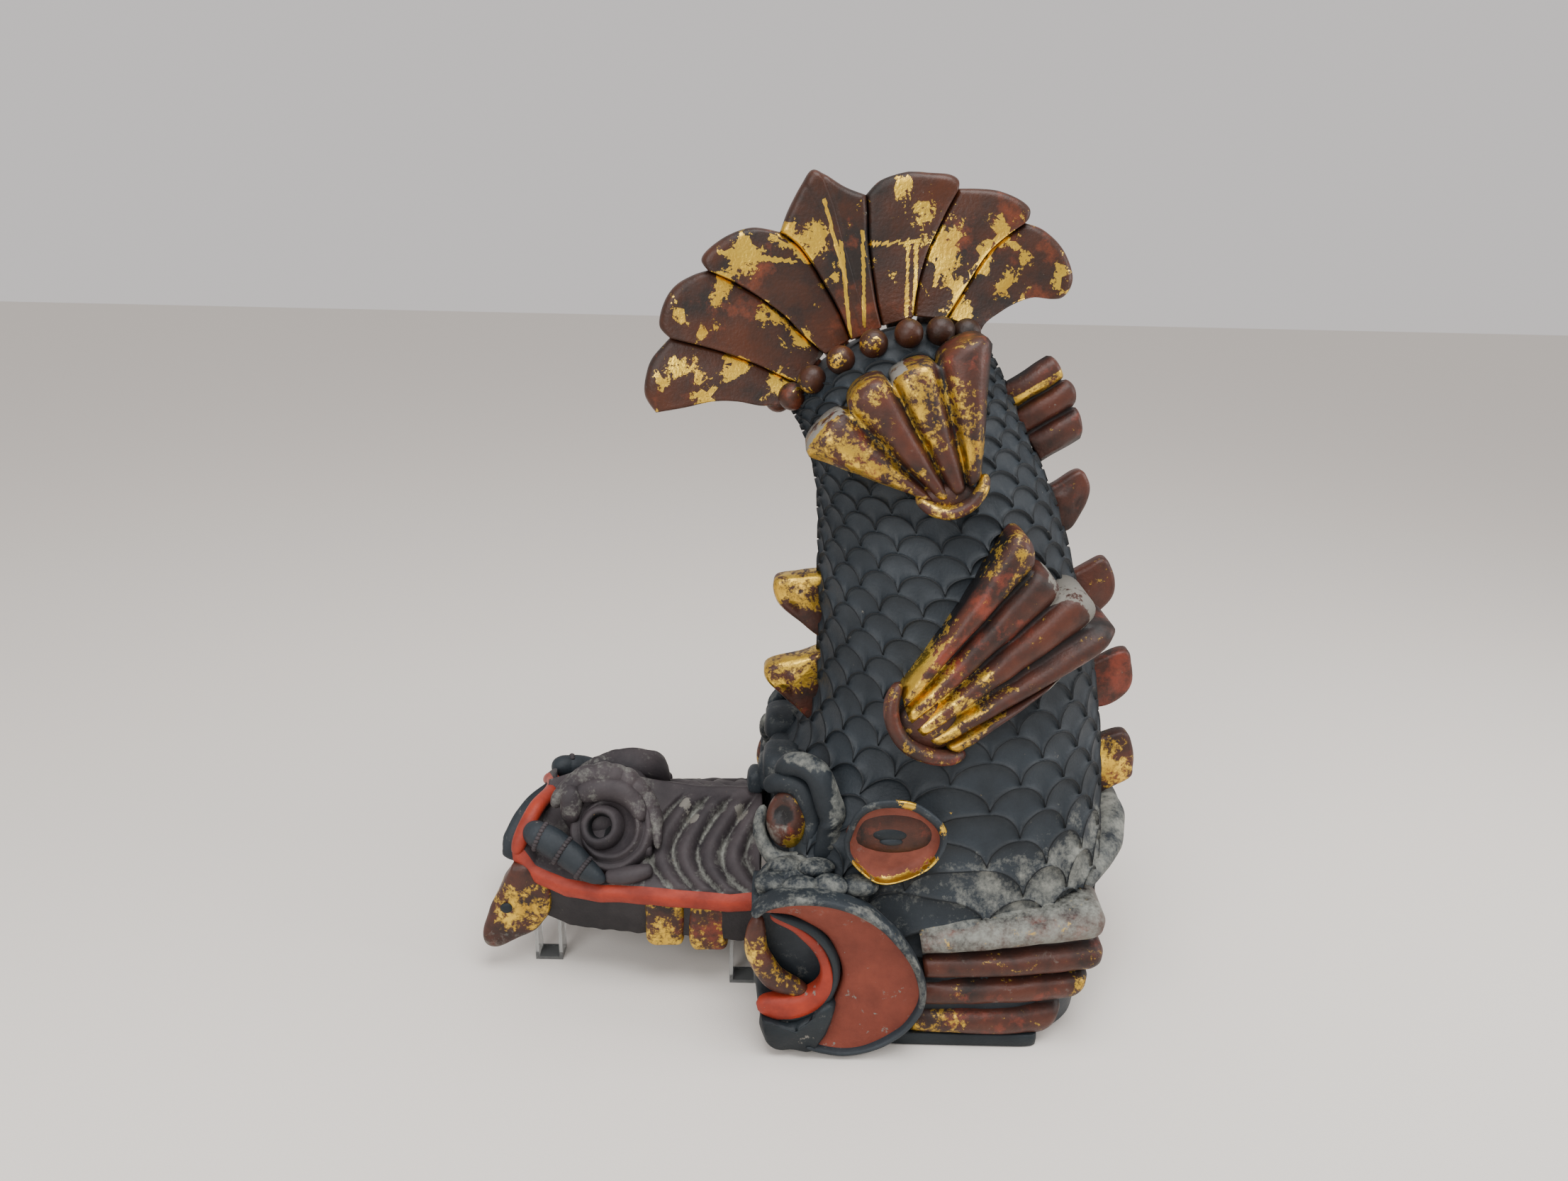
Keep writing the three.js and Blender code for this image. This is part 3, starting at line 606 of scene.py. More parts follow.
def trunkPoint(u, angle):
    row = stationAt(u)
    backX, backZ, bellyX, bellyZ, depth, sag, square = (row[..., k] for k in range(7))
    c, s = np.cos(angle), np.sin(angle)
    across = np.sign(c) * np.abs(c) ** (2 / square)
    aside = np.sign(s) * np.abs(s) ** (2 / square)
    halfX, halfZ = (bellyX - backX) / 2, (bellyZ - backZ) / 2
    drop = sag * s ** 2 / np.hypot(halfX, halfZ)
    x = (bellyX + backX) / 2 + halfX * across + halfZ * drop
    z = (bellyZ + backZ) / 2 + halfZ * across - halfX * drop
    return np.stack([x, -depth * aside, z], axis=-1)


def trunkNormal(u, angle):
    step = 0.02
    along = trunkPoint(u + step, angle) - trunkPoint(u - step, angle)
    aside = trunkPoint(u, angle + step) - trunkPoint(u, angle - step)
    normal = -np.cross(along, aside)
    return normal / np.maximum(np.linalg.norm(normal, axis=-1, keepdims=True), 1e-9)


def flankLength(low, high):
    a, b = trunkPoint(np.array([low, high]), np.full(2, flank))
    return np.linalg.norm(b - a)


def scaleRows():
    rows = []
    u = trunk["firstScale"]
    turn = np.linspace(0, 2 * math.pi, 25)
    while u < trunk["beadStation"] - 0.4:
        rows.append(u)
        around = np.linalg.norm(np.diff(trunkPoint(np.full(25, u), turn), axis=0), axis=1).sum()
        u += around / trunk["scalesAround"] * trunk["rowShare"] / (flankLength(u, u + 0.1) / 0.1)
    return rows + [u]


def makeTrunk():
    columns = 2 * trunk["scalesAround"] * trunk["samples"]
    turn = np.arange(columns) / columns
    angle = turn * 2 * math.pi
    place = turn * trunk["scalesAround"]
    rows = scaleRows()
    rings, paintedShades = [], []

    def addRing(u, lift, groove):
        u = np.broadcast_to(np.asarray(u, float), angle.shape)
        rings.append(trunkPoint(u, angle) + trunkNormal(u, angle) * np.asarray(lift)[..., None])
        paintedShades.append(np.broadcast_to(groove, angle.shape))

    def fromMiddle(r):  # share of a scale's width, and every second row is shifted by half a scale
        return (place - 0.5 * (r % 2) + 0.5) % 1.0 - 0.5

    def edge(r):
        low, high = rows[r], rows[r + 1]
        cut = (high - low) * trunk["cut"] / flankLength(low, high)
        tip = (1 - np.minimum(np.abs(fromMiddle(r)) * 2, 1.0) ** 2) ** 0.6
        return low + (high - cut - low) * tip, tip, cut

    for u in trunk["plainStations"]:
        addRing(u, np.zeros(columns), 0.0)
    for r in range(-1, len(rows) - 2):
        upper, tip, cut = edge(r + 1)
        lower = edge(r)[0] if r >= 0 else np.full(columns, rows[0])
        start = lower + cut * 0.4
        middle = np.cos(math.pi * fromMiddle(r + 1))
        for share, height, groove in trunk["profile"]:
            lift = height * (trunk["lip"] * (0.5 + 0.5 * tip) if height > 0 else trunk["sink"])
            lift = lift + trunk["crown"] * middle * math.sin(math.pi * min(share, 0.9))
            addRing(start + (upper - start) * share, lift, groove)
    for step in trunk["topSteps"]:
        # a little painted shade next to the bead row
        addRing(trunk["beadStation"] + step, np.zeros(columns), 0.3)
    points, faces, _ = uneven(loft([list(ring) for ring in rings]), 0.7, 0.035)
    groove = list(np.concatenate(paintedShades)) + [0.0, 0.0]
    dust = [hump(p, trunk["dustSpots"]) * (1 - 0.5 * g) for p, g in zip(points, groove)]
    points = [np.array([p[0], p[1], max(p[2], 0.0)]) for p in points]
    body = piece("scaledTrunk", [(points, faces, {"groove": groove, "dust": dust})], clay)
    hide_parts("tile_body")


makeTrunk()
print("trunk ready")

# Tail fan: seven lobes. Each line runs from the outer edge to the bead row.

fan = {
    "lines": [
        [(-131, 483), (-105, 488), (-83, 493), (-66, 493), (-47, 490), (-30, 492)],
        [(-119, 541), (-83, 533), (-50, 522), (-19, 508)],
        [(-89, 592), (-67, 583), (-34, 563), (-17, 547), (1, 532)],
        [(-35, 621), (-19, 610), (-2, 587), (12, 564), (21, 543)],
        [(29, 649), (32, 616), (39, 575), (45, 554)],
        [(97, 655), (84, 628), (73, 597), (69, 562)],
        [(149, 632), (125, 613), (109, 587), (94, 561)],
        [(172, 577), (153, 578), (139, 572), (129, 564), (124, 558), (122, 553)],
    ],
    "rims": [
        [(-131, 483), (-139, 496), (-138, 512), (-133, 526), (-119, 541)],
        [(-119, 541), (-127, 550), (-124, 566), (-115, 580), (-102, 588), (-89, 592)],
        [(-89, 592), (-94, 600), (-88, 609), (-75, 618), (-56, 624), (-35, 621)],
        [(-35, 621), (-30, 635), (-20, 655), (-12, 666), (-2, 663), (12, 655), (29, 649)],
        [(29, 649), (40, 660), (58, 666), (75, 666), (90, 665), (97, 661), (97, 655)],
        [(97, 655), (111, 655), (127, 654), (144, 648), (152, 642), (152, 636), (149, 632)],
        [(149, 632), (164, 627), (179, 614), (188, 597), (188, 586), (182, 578), (172, 577)],
    ],
    "proud": 15.0, "tucked": 8.0, "across": 50, "along": 60,
    "sideRound": 0.16, "topRound": 0.09, "edgeShare": 0.42, "ribHeight": 0.9,
    "creases": (0.36, 0.64), "creaseWidth": 0.03, "creaseDepth": 1.2,
    "seamShare": 0.07, "footDust": 0.35,
    "goldBase": 0.13, "goldGain": 0.82,
    "goldSpots": [
        (-61, 608, 17, 0.85), (-81, 580, 12, 0.7), (-64, 522, 11, 0.7), (-45, 556, 11, 0.65),
        (-29, 506, 11, 0.65), (-18, 542, 9, 0.6), (-32, 619, 9, 0.7), (-11, 617, 12, 0.7),
        (94, 611, 14, 0.72), (102, 588, 12, 0.7), (131, 626, 12, 0.7), (135, 586, 12, 0.65),
        (72, 638, 10, 0.6), (54, 658, 10, 0.6), (104, 565, 12, 0.65), (178, 593, 10, 0.5),
        (-114, 522, 13, 0.7), (-108, 561, 10, 0.5), (-93, 503, 12, 0.65), (-125, 508, 10, 0.5),
        (150, 606, 10, 0.5), (8, 590, 9, 0.45), (52, 590, 7, 0.4), (118, 606, 10, 0.5),
        (-92, 545, 9, 0.45),
    ],
    "streaks": (0.06, 0.94), "streakWidth": 0.05, "streakGold": 0.1575,
    "goldLines": [
        [(33, 614), (69, 617)], [(62, 617), (63, 563)], [(68, 616), (69, 565)], [(11, 615), (21, 546)],
        [(-3, 645), (16, 587)], [(27, 623), (31, 555)], [(-80, 606), (-22, 600)], [(88, 622), (84, 585)],
    ],
    "lineHalf": 1.3, "lineGold": 0.75,
}


def nearLine(p, lines):
    best = 1e9
    for (ax, az), (bx, bz) in lines:
        along = np.array([bx - ax, bz - az], float)
        t = min(1.0, max(0.0, ((p[0] - ax) * along[0] + (p[2] - az) * along[1]) / along.dot(along)))
        best = min(best, math.hypot(p[0] - ax - t * along[0], p[2] - az - t * along[1]))
    return best


def fanGold(p, s):
    gold = fan["goldBase"] + fan["goldGain"] * hump(p, fan["goldSpots"])
    gold += fan["streakGold"] * sum(bell(s, at, fan["streakWidth"]) for at in fan["streaks"])
    if nearLine(p, fan["goldLines"]) < fan["lineHalf"]:
        gold += fan["lineGold"]
    return min(1.0, gold)


def fanHalf(side, s, t):  # half thickness at a share s across the lobe and t up it
    free = s if side > 0 else (1 - s if side < 0 else 0.75)
    fromEdge = min(quarterRound(min(s, 1 - s) * 2 / fan["sideRound"]),
                   quarterRound((1 - t) / fan["topRound"]))
    half = fan["tucked"] + (fan["proud"] - fan["tucked"]) * free
    half *= fan["edgeShare"] + (1 - fan["edgeShare"]) * fromEdge
    half += fan["ribHeight"] * math.cos(math.pi * (2 * s - 1)) * t
    if side == 0:
        crease = sum(bell(s, at, fan["creaseWidth"]) for at in fan["creases"])
        half -= fan["creaseDepth"] * crease * (0.4 + 0.6 * t)
    return half


def fanLobe(index):
    rims, across, along = fan["rims"], fan["across"], fan["along"]
    left, right = (spline(line[::-1], along) for line in fan["lines"][index:index + 2])
    rim = spline(rims[index], across)
    foot = np.linspace(left[0], right[0], across)
    side = np.sign(index - (len(rims) - 1) / 2)
    near, values = [], {"gold": [], "groove": [], "dust": []}
    for r in range(along):
        t = r / (along - 1)
        for c in range(across):
            s = c / (across - 1)
            flat = (1 - s) * left[r] + s * right[r] + (1 - t) * foot[c] + t * rim[c]
            flat = flat - (1 - t) * ((1 - s) * foot[0] + s * foot[-1]) - t * ((1 - s) * rim[0] + s * rim[-1])
            near.append(np.array([flat[0], -fanHalf(side, s, t), flat[1]]))
            seam = 1 - min(1.0, min(s, 1 - s) * 2 / fan["seamShare"])
            values["gold"].append(fanGold(near[-1], s))
            # painted shade in the seams between the lobes
            values["groove"].append(0.9 * seam if t < 0.93 else 0.0)
            values["dust"].append(fan["footDust"] if t < 0.06 else 0.0)
    return near + acrossY(near), padFaces(along, across), {key: v + v for key, v in values.items()}


def makeFan():
    shapes = [uneven(fanLobe(index), 0.7, 0.04) for index in range(len(fan["rims"]))]
    piece("tailFan", shapes, lacquer)


makeFan()
print("fan ready")

# Beads of the bead row and the whisker's joints: one geometry tree puts a ball on every point.


def makeBeadTree():
    tree = bpy.data.node_groups.new("ballOnPoints", "GeometryNodeTree")
    for name, kind in (("Geometry", "Geometry"), ("Roundness", "Int"), ("Material", "Material")):
        tree.interface.new_socket(name, in_out="INPUT", socket_type="NodeSocket" + kind)
    tree.interface.new_socket("Geometry", in_out="OUTPUT", socket_type="NodeSocketGeometry")
    inner = node(tree, "NodeGroupInput")
    outer = node(tree, "NodeGroupOutput")
    orb = node(tree, "GeometryNodeMeshIcoSphere")
    orb.inputs["Radius"].default_value = 1.0
    size = node(tree, "GeometryNodeInputNamedAttribute", data_type="FLOAT_VECTOR")
    size.inputs["Name"].default_value = "size"
    spread = node(tree, "GeometryNodeInstanceOnPoints")
    real = node(tree, "GeometryNodeRealizeInstances")
    shade = node(tree, "GeometryNodeSetShadeSmooth")
    finish = node(tree, "GeometryNodeSetMaterial")
    link(tree, inner.outputs["Geometry"], spread.inputs["Points"])
    link(tree, inner.outputs["Roundness"], orb.inputs["Subdivisions"])
    link(tree, orb.outputs["Mesh"], spread.inputs["Instance"])
    link(tree, size.outputs["Attribute"], spread.inputs["Scale"])
    link(tree, spread.outputs["Instances"], real.inputs["Geometry"])
    link(tree, real.outputs["Geometry"], shade.inputs["Geometry"])
    link(tree, shade.outputs["Geometry"], finish.inputs["Geometry"])
    link(tree, inner.outputs["Material"], finish.inputs["Material"])
    link(tree, finish.outputs["Geometry"], outer.inputs["Geometry"])
    return tree


beadTree = makeBeadTree()


def balls(name, places, slot, material, roundness=3, **values):
    mesh = bpy.data.meshes.new(name)
    mesh.from_pydata([metres(p) for p, _ in places], [], [])
    size = mesh.attributes.new("size", "FLOAT_VECTOR", "POINT")
    size.data.foreach_set("vector", [r * 0.001 for _, radii in places for r in radii])
    addValues(mesh, {key: [values.get(key, 0.0)] * len(places) for key in valueNames})
    thing = placed(name, mesh)
    modifier = thing.modifiers.new("balls", "NODES")
    modifier.node_group = beadTree
    sockets = {s.name: s.identifier for s in beadTree.interface.items_tree if s.in_out == "INPUT"}
    modifier[sockets["Roundness"]] = roundness
    modifier[sockets["Material"]] = material
    made = bpy.data.meshes.new_from_object(thing.evaluated_get(bpy.context.evaluated_depsgraph_get()))
    thing.modifiers.remove(modifier)
    thing.data = made
    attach(thing, "root")


beadRow = {
    "radius": 11.0, "gold": 0.22,
    "middle": (-34, 0, 495),
    "places": [(-23, 19, 500), (-8, 30, 515), (13, 36, 531), (37, 39, 544), (63, 39, 552), (87, 35, 554),
               (108, 26, 552)],
}


def makeBeads():
    radii = [beadRow["radius"]] * 3
    places = [(beadRow["middle"], radii)]
    places += [((x, y * side, z), radii) for x, y, z in beadRow["places"] for side in (1, -1)]
    balls("beadRow", places, "smoked_clay", lacquer, gold=beadRow["gold"])


makeBeads()

# Fluted fins. Each rib has a start and a tip, and the outer edge is scalloped between the tips.

flute = {
    "perRib": 12, "scallop": 0.10, "footShare": 0.18, "swellRun": 0.62, "bluntShare": 0.07, "paintedShadeRise": 2.4,
}


def fluted(ribs, ridge, depth, goldAt, chipAt=None, along=34, spread=1.0, narrow=0.86, twoSided=False):
    starts, tips = (np.array(ends, float) for ends in zip(*ribs))
    count, perRib = len(ribs), flute["perRib"]

    def borders(points):
        inner = [(points[k] + points[k + 1]) / 2 for k in range(count - 1)]
        first = points[0] + (points[0] - inner[0]) * spread
        last = points[-1] + (points[-1] - inner[-1]) * spread
        return [first] + inner + [last]

    startBorders, tipBorders = borders(starts), borders(tips)
    columns = count * perRib + 1
    front, back = [], []
    values = {"gold": [], "groove": [], "chip": []}
    for row in range(along):
        t = row / (along - 1)
        swell = math.sin(math.pi * min(1.0, flute["footShare"] + t * flute["swellRun"])) ** 0.6
        swell *= 0.25 + 0.75 * quarterRound((1 - t) / flute["bluntShare"])
        for c in range(columns):
            k = min(c // perRib, count - 1)
            f = c / perRib - k
            arc = math.sqrt(max(0.0, 1 - (2 * f - 1) ** 2))
            rib = math.sqrt(max(0.0, 1 - ((2 * f - 1) / narrow) ** 2))
            low = startBorders[k] * (1 - f) + startBorders[k + 1] * f
            edge = tipBorders[k] * (1 - f) + tipBorders[k + 1] * f
            edge = edge + (tips[k] - (tipBorders[k] + tipBorders[k + 1]) / 2) * arc
            p = low + (edge - low) * (1 - flute["scallop"] * (1 - arc)) * t
            height = ridge * (0.03 + 0.97 * rib ** 0.85) * swell
            front.append(p + np.array([0, -height, 0]))
            back.append(p + np.array([0, depth, 0]))
            values["gold"].append(goldAt(k, f, t))
            # painted shade in the hollows between the ribs
            values["groove"].append(max(0.0, 1 - rib * flute["paintedShadeRise"]) * 0.97)
            values["chip"].append(chipAt(k, f, t) if chipAt else 0.0)
    if twoSided:
        back = acrossY(front)
    return front + back, padFaces(along, columns, flip=True), {key: v + v for key, v in values.items()}


sideFin = {
    "upper": {
        "ribs": [((77, -92, 440), (-3, -88, 488)), ((89, -93, 440), (27, -88, 521)),
                 ((101, -93, 445), (60, -86, 534)), ((111, -92, 454), (98, -84, 552))],
        "cuff": [(70, -92, 441, 4, 6), (79, -99, 434, 5, 7), (92, -102, 431, 5, 8), (106, -101, 436, 5, 8),
                 (116, -97, 447, 5, 7), (119, -90, 458, 4, 5)],
        "heel": ((95, -90, 440), (24, 11, 12)), "ridge": 13, "depth": 40, "cuffGold": 0.5,
    },
    "lower": {
        "ribs": [((66, -116, 288), (154, -104, 411)), ((70, -118, 276), (173, -101, 384)),
                 ((79, -119, 265), (204, -98, 366)), ((91, -118, 256), (225, -96, 337)),
                 ((106, -117, 250), (176, -106, 299))],
        "cuff": [(63, -114, 302, 5, 6), (57, -121, 287, 6, 8), (59, -125, 271, 6, 9), (69, -127, 256, 6, 9),
                 (86, -126, 247, 6, 9), (103, -121, 243, 6, 8), (116, -114, 244, 5, 6)],
        "heel": ((84, -114, 266), (27, 12, 22)), "ridge": 13, "depth": 45, "cuffGold": 0.32,
    },
    "heelGold": 0.35,
}


def makeSideFins():

    def upperGold(k, f, t):
        return 0.56 + 0.16 * math.sin(k * 2.1 + t * 5) - 0.24 * f + (0.2 if k == 0 and t > 0.6 else 0)

    def lowerGold(k, f, t):
        if t < 0.5:
            return 0.75 - 1.2 * t + (0.25 if f < 0.3 else 0)
        return 0.14 + (0.3 if k == 0 and t > 0.75 else 0)

    def upperChip(k, f, t):
        return 0.7 if (k == 2 and f < 0.45 and t > 0.975) or (k == 0 and t > 0.97) else 0.0

    def lowerChip(k, f, t):
        if k == 4 and t > 0.9:
            return 0.75
        return 0.75 if k in (1, 2) and t > 0.955 and (f > 0.4 or k == 2) else 0.0

    shapes = []
    for name, goldAt, chipAt in (("upper", upperGold, upperChip), ("lower", lowerGold, lowerChip)):
        fin = sideFin[name]
        shape = fluted(fin["ribs"], fin["ridge"], fin["depth"], goldAt, chipAt, spread=1.05)
        shapes.append(uneven(shape, 1.0, 0.05))
        shapes.append(mark(ball(*fin["heel"], 28, 14), gold=sideFin["heelGold"]))
        shapes.append(mark(bar(fin["cuff"], 18, 36), gold=fin["cuffGold"]))
    piece("sideFins", both(*shapes), finLacquer)


makeSideFins()

# Belly fin, belly flaps and back spikes on the centre plane

centreFin = {
    "ribs": [((146, 0, 498), (187, 0, 526)), ((158, 0, 481), (200, 0, 508)), ((172, 0, 460), (208, 0, 484))],
    "ridge": 11,
    "flaps": [
        [(180, 424), (191, 431), (210, 443), (218, 437), (221, 426), (216, 410), (206, 393), (185, 395)],
        [(205, 350), (216, 357), (237, 370), (246, 361), (251, 343), (245, 329), (231, 317), (208, 318)],
        [(225, 270), (240, 277), (266, 289), (273, 275), (275, 258), (268, 245), (249, 234), (228, 236)],
        [(232, 200), (250, 205), (274, 211), (283, 198), (286, 180), (284, 166), (253, 150), (232, 152)],
        [(225, 64), (240, 66), (262, 60), (268, 40), (264, 16), (240, 10), (225, 12)],
    ],
    "flapHalf": 8, "spikeHalf": 13,
    "spikes": [
        [(10, 354), (-12, 350), (-33, 345), (-32, 327), (-14, 310), (10, 298)],
        [(10, 284), (-18, 275), (-40, 268), (-38, 253), (-16, 232), (8, 216)],
    ],
    "flapGold": [(265, 180, 26, 0.75), (255, 30, 30, 0.6), (232, 360, 12, 0.25)],
}


def makeCentreFins():

    def ribGold(k, f, t):
        return 0.75 if k == 0 and f > 0.5 else 0.1

    rib = fluted(centreFin["ribs"], centreFin["ridge"], 0, ribGold, spread=1.1, twoSided=True)
    shapes = [uneven(rib, 0.8, 0.05)]
    for outline in centreFin["flaps"]:
        flap = uneven(slab(outline, centreFin["flapHalf"], 4, bulge=2.5), 1.0, 0.05)
        shapes.append(mark(flap, gold=lambda p: hump(p, centreFin["flapGold"]) + 0.08))
    for outline in centreFin["spikes"]:
        spike = uneven(slab(outline, centreFin["spikeHalf"], 5, bulge=1.5), 1.0, 0.05)
        goldFrom = max(z for _, z in outline) - 34
        shapes.append(mark(spike, gold=lambda p: 0.66 if p[2] > goldFrom else 0.22))
    piece("centreFins", shapes, finLacquer)


makeCentreFins()
print("fins ready")

# Head

head = {
    "eye": {"at": (-18, -92, 169), "radii": (18.5, 17, 25.5)},
    "pit": {"at": (-25, -107, 180), "reach": 12, "depth": 8.5, "darkWithin": 10, "stretch": (1.0, 0.6, 0.8)},
    "eyeGold": [(-9, 153, 13, 0.72), (-5, 176, 8, 0.45), (-12, 192, 6, 0.4)],
    "browIn": [(-38, -76, 188, 5, 7), (-27, -86, 198, 7, 8), (-10, -94, 198, 8, 9), (0, -99, 177, 8, 9),
               (0, -102, 152, 7, 8), (-6, -104, 140, 5, 6)],
    "browOut": [(-28, -78, 204, 6, 8), (-14, -90, 218, 9, 10), (3, -100, 215, 10, 12), (12, -106, 196, 10, 12),
                (16, -109, 177, 10, 12), (12, -111, 152, 8, 10), (8, -112, 138, 5, 7)],
    "lid": [(-38, -86, 178, 4, 5), (-42, -92, 162, 5, 6), (-37, -99, 147, 6, 7), (-24, -105, 138, 7, 8),
            (-6, -108, 140, 7, 8), (6, -110, 150, 5, 6)],
    "cheeks": [((-12, -121, 125), (33, 33, 22)), ((-30, -134, 137), (14, 11, 8)),
               ((-8, -142, 139), (15, 11, 8)), ((15, -143, 141), (15, 11, 8)), ((38, -139, 139), (15, 11, 8)),
               ((-20, -122, 144), (14, 10, 7)), ((4, -127, 147), (15, 10, 7))],
    "crest": [((-20, 0, 178), (17, 21, 18)), ((-34, 0, 164), (12, 17, 15)), ((-47, 0, 155), (8, 13, 11)),
              ((-24, -40, 194), (17, 24, 14))],
}


def makeHead():
    eyeAt, pit = head["eye"]["at"], head["pit"]
    points, faces, _ = ball(eyeAt, head["eye"]["radii"], 44, 28)
    pitAt = np.array(pit["at"])
    moved = []
    for p in points:
        gap = np.linalg.norm((p - pitAt) * pit["stretch"])
        moved.append(p + np.array([0, pit["depth"], 0]) * max(0.0, 1 - gap / pit["reach"]))
    # the pit in the eye is painted near black as shade
    eye = mark((moved, faces, {}), gold=lambda p: 0.16 + hump(p, head["eyeGold"]),
               dust=lambda p: 0.62 if p[0] < eyeAt[0] - 1 and p[2] < eyeAt[2] + 2 else 0.1,
               groove=lambda p: 0.95 if np.linalg.norm(p - pitAt) < pit["darkWithin"] else 0.0)
    upright = (0, 0, 1)
    browIn = mark(bar(head["browIn"], 16, 40, upright), dust=0.30)
    browOut = mark(bar(head["browOut"], 18, 44, upright),
                   dust=lambda p: 0.85 if p[0] > 14 or p[2] > 222 else 0.25)
    lid = mark(bar(head["lid"], 16, 40, upright), dust=0.72)
    shapes = both(*(uneven(made, 1.2, 0.05) for made in (browIn, browOut, lid)))
    for at, radii in head["cheeks"]:
        shapes += both(mark(uneven(ball(at, radii, 28, 14), 1.2, 0.05), dust=0.66))
    for at, radii in head["crest"]:
        lump = mark(uneven(ball(at, radii, 28, 14, power=0.6), 1.6, 0.06), dust=0.35)
        shapes += both(lump) if at[1] else [lump]
    piece("browsAndCrest", shapes, clay)
    piece("eyes", both(eye), finLacquer)


# Ears: an almond rim round a bowl with a slit. Levels give the share of the outline, the depth and the drop.

ear = {
    "outline": [(24, 186), (32, 209), (47, 220), (70, 221), (86, 214), (101, 199), (102, 181), (90, 162),
                (67, 150), (51, 149), (36, 160), (26, 174)],
    "levels": [(0.60, -108, -18), (0.86, -128, -12), (0.97, -139, -6), (1.0, -144, -3.5), (0.985, -146, -4),
               (0.95, -146.3, -5), (0.90, -145, -6.5), (0.87, -142, -7), (0.83, -137, -7),
               (0.70, -135, -6.5), (0.45, -134.5, -5.5), (0.20, -134, -4.5)],
    "rimLevels": 7, "crownFrom": -138,
    "lens": {"at": (63, -133, 183), "radii": (37, 4.4, 18)},
    "slit": {"at": (60, -136, 183), "radii": (14, 3.0, 5.8)},
    "slitTongue": {"at": (61, -137, 177.5), "radii": (9, 2.8, 3.4)},
    "goldSpots": [(50, 148, 13, 0.8), (72, 149, 14, 0.8), (92, 163, 10, 0.65), (70, 216, 9, 0.7),
                  (100, 195, 8, 0.8), (32, 162, 9, 0.5)],
}


def makeEars():
    rim = spline(ear["outline"] + [ear["outline"][0]], 73)[:-1]
    middle = rim.mean(axis=0)
    rings = []
    for share, y, drop in ear["levels"]:
        flat = middle + (rim - middle) * share
        rings.append([np.array([x, y, z + drop]) for x, z in flat])
    points, faces, _ = loft(rings)
    crown = ear["crownFrom"]
    values = {"gold": [hump(p, ear["goldSpots"]) * (1.0 if p[1] < crown else 0.35) for p in points],
              "dust": [0.40 if p[2] > 192 and p[1] < crown else 0.15 for p in points]}
    around = len(rim)
    rimFaces = around * ear["rimLevels"]
    wall = (points, faces[:rimFaces] + faces[-2 * around:-around], values)
    bowl = (points, faces[rimFaces:-2 * around] + faces[-around:], values)
    entries = painted(clay, both(wall)) + painted(earRed, both(bowl))
    # the slit is a dark slate ball, painted shade for the hole inside the ear
    for name, material in (("lens", finLacquer), ("slit", slateAndShade), ("slitTongue", clay)):
        entries += painted(material, both(ball(ear[name]["at"], ear[name]["radii"], 32, 12)))
    piece("ears", entries)


makeHead()
makeEars()

# Gills: a comma-shaped plate with a raised rim on each side of the broken mouth. The levels give the share
# of the way from the rim to the mouth edge, the millimetres in from the rim and the depth.

gill = {
    "rim": [(-46, 132), (-36, 141), (-20, 146), (0, 147), (20, 145), (38, 138), (55, 127), (72, 109), (85, 88),
            (92, 66), (90, 46), (80, 28), (64, 14), (46, 6), (28, 3), (10, 5), (-2, 10)],
    "edge": [(-36, 129), (-19, 126), (-3, 119), (9, 111), (17, 101), (23, 89), (26, 76), (26, 66), (24, 57),
             (21, 48), (17, 40), (13, 32), (9, 25), (5, 19), (1, 13)],
    "levels": [(0, 15, -126), (0, 7, -143), (0, 1.5, -156), (0, 0, -165), (0, 0.6, -170.5), (0, 2.2, -173.3),
               (0, 4.2, -173.3), (0, 5.8, -171.5), (0, 6.4, -167.5), (0.15, 6.0, -166.2), (0.35, 4, -165),
               (0.55, 2, -164), (0.75, 1, -163), (0.92, 0, -162), (1, 0, -160), (1, 0, -138)],
    "rimLevels": 8, "steps": 84, "faceDepth": 160,
    "band": [(-32, 127, 3, 5), (-4, 116, 4, 6), (12, 101, 4, 7), (20, 82, 4, 7), (19, 62, 4, 7), (8, 43, 5, 7),
             (-12, 33, 5, 7), (-35, 36, 4, 6)],
    "lip": [(-41, 42, 10, 9), (-16, 40, 11, 9), (3, 48, 10, 9), (13, 63, 7, 9), (13, 82, 5, 8), (5, 99, 5, 7),
            (-11, 114, 4, 6), (-31, 124, 4, 5)],
    "tusk": [(-40, 122, 5, 5), (-42, 98, 9, 8), (-35, 76, 10, 9), (-20, 60, 9, 8), (0, 54, 5, 6)],
    "stump": [(-36, 34), (-38, 22), (-33, 10), (-24, 4), (-6, 3), (10, 8), (18, 26), (22, 46), (14, 50),
              (2, 38), (-14, 30)],
    "throat": [(-46, 128), (-20, 126), (6, 112), (22, 90), (26, 68), (20, 44), (6, 20), (-6, 6), (-34, 6),
               (-42, 40), (-46, 84)],
    "stumpDepths": (118, 172), "throatDepths": (100, 146),
}


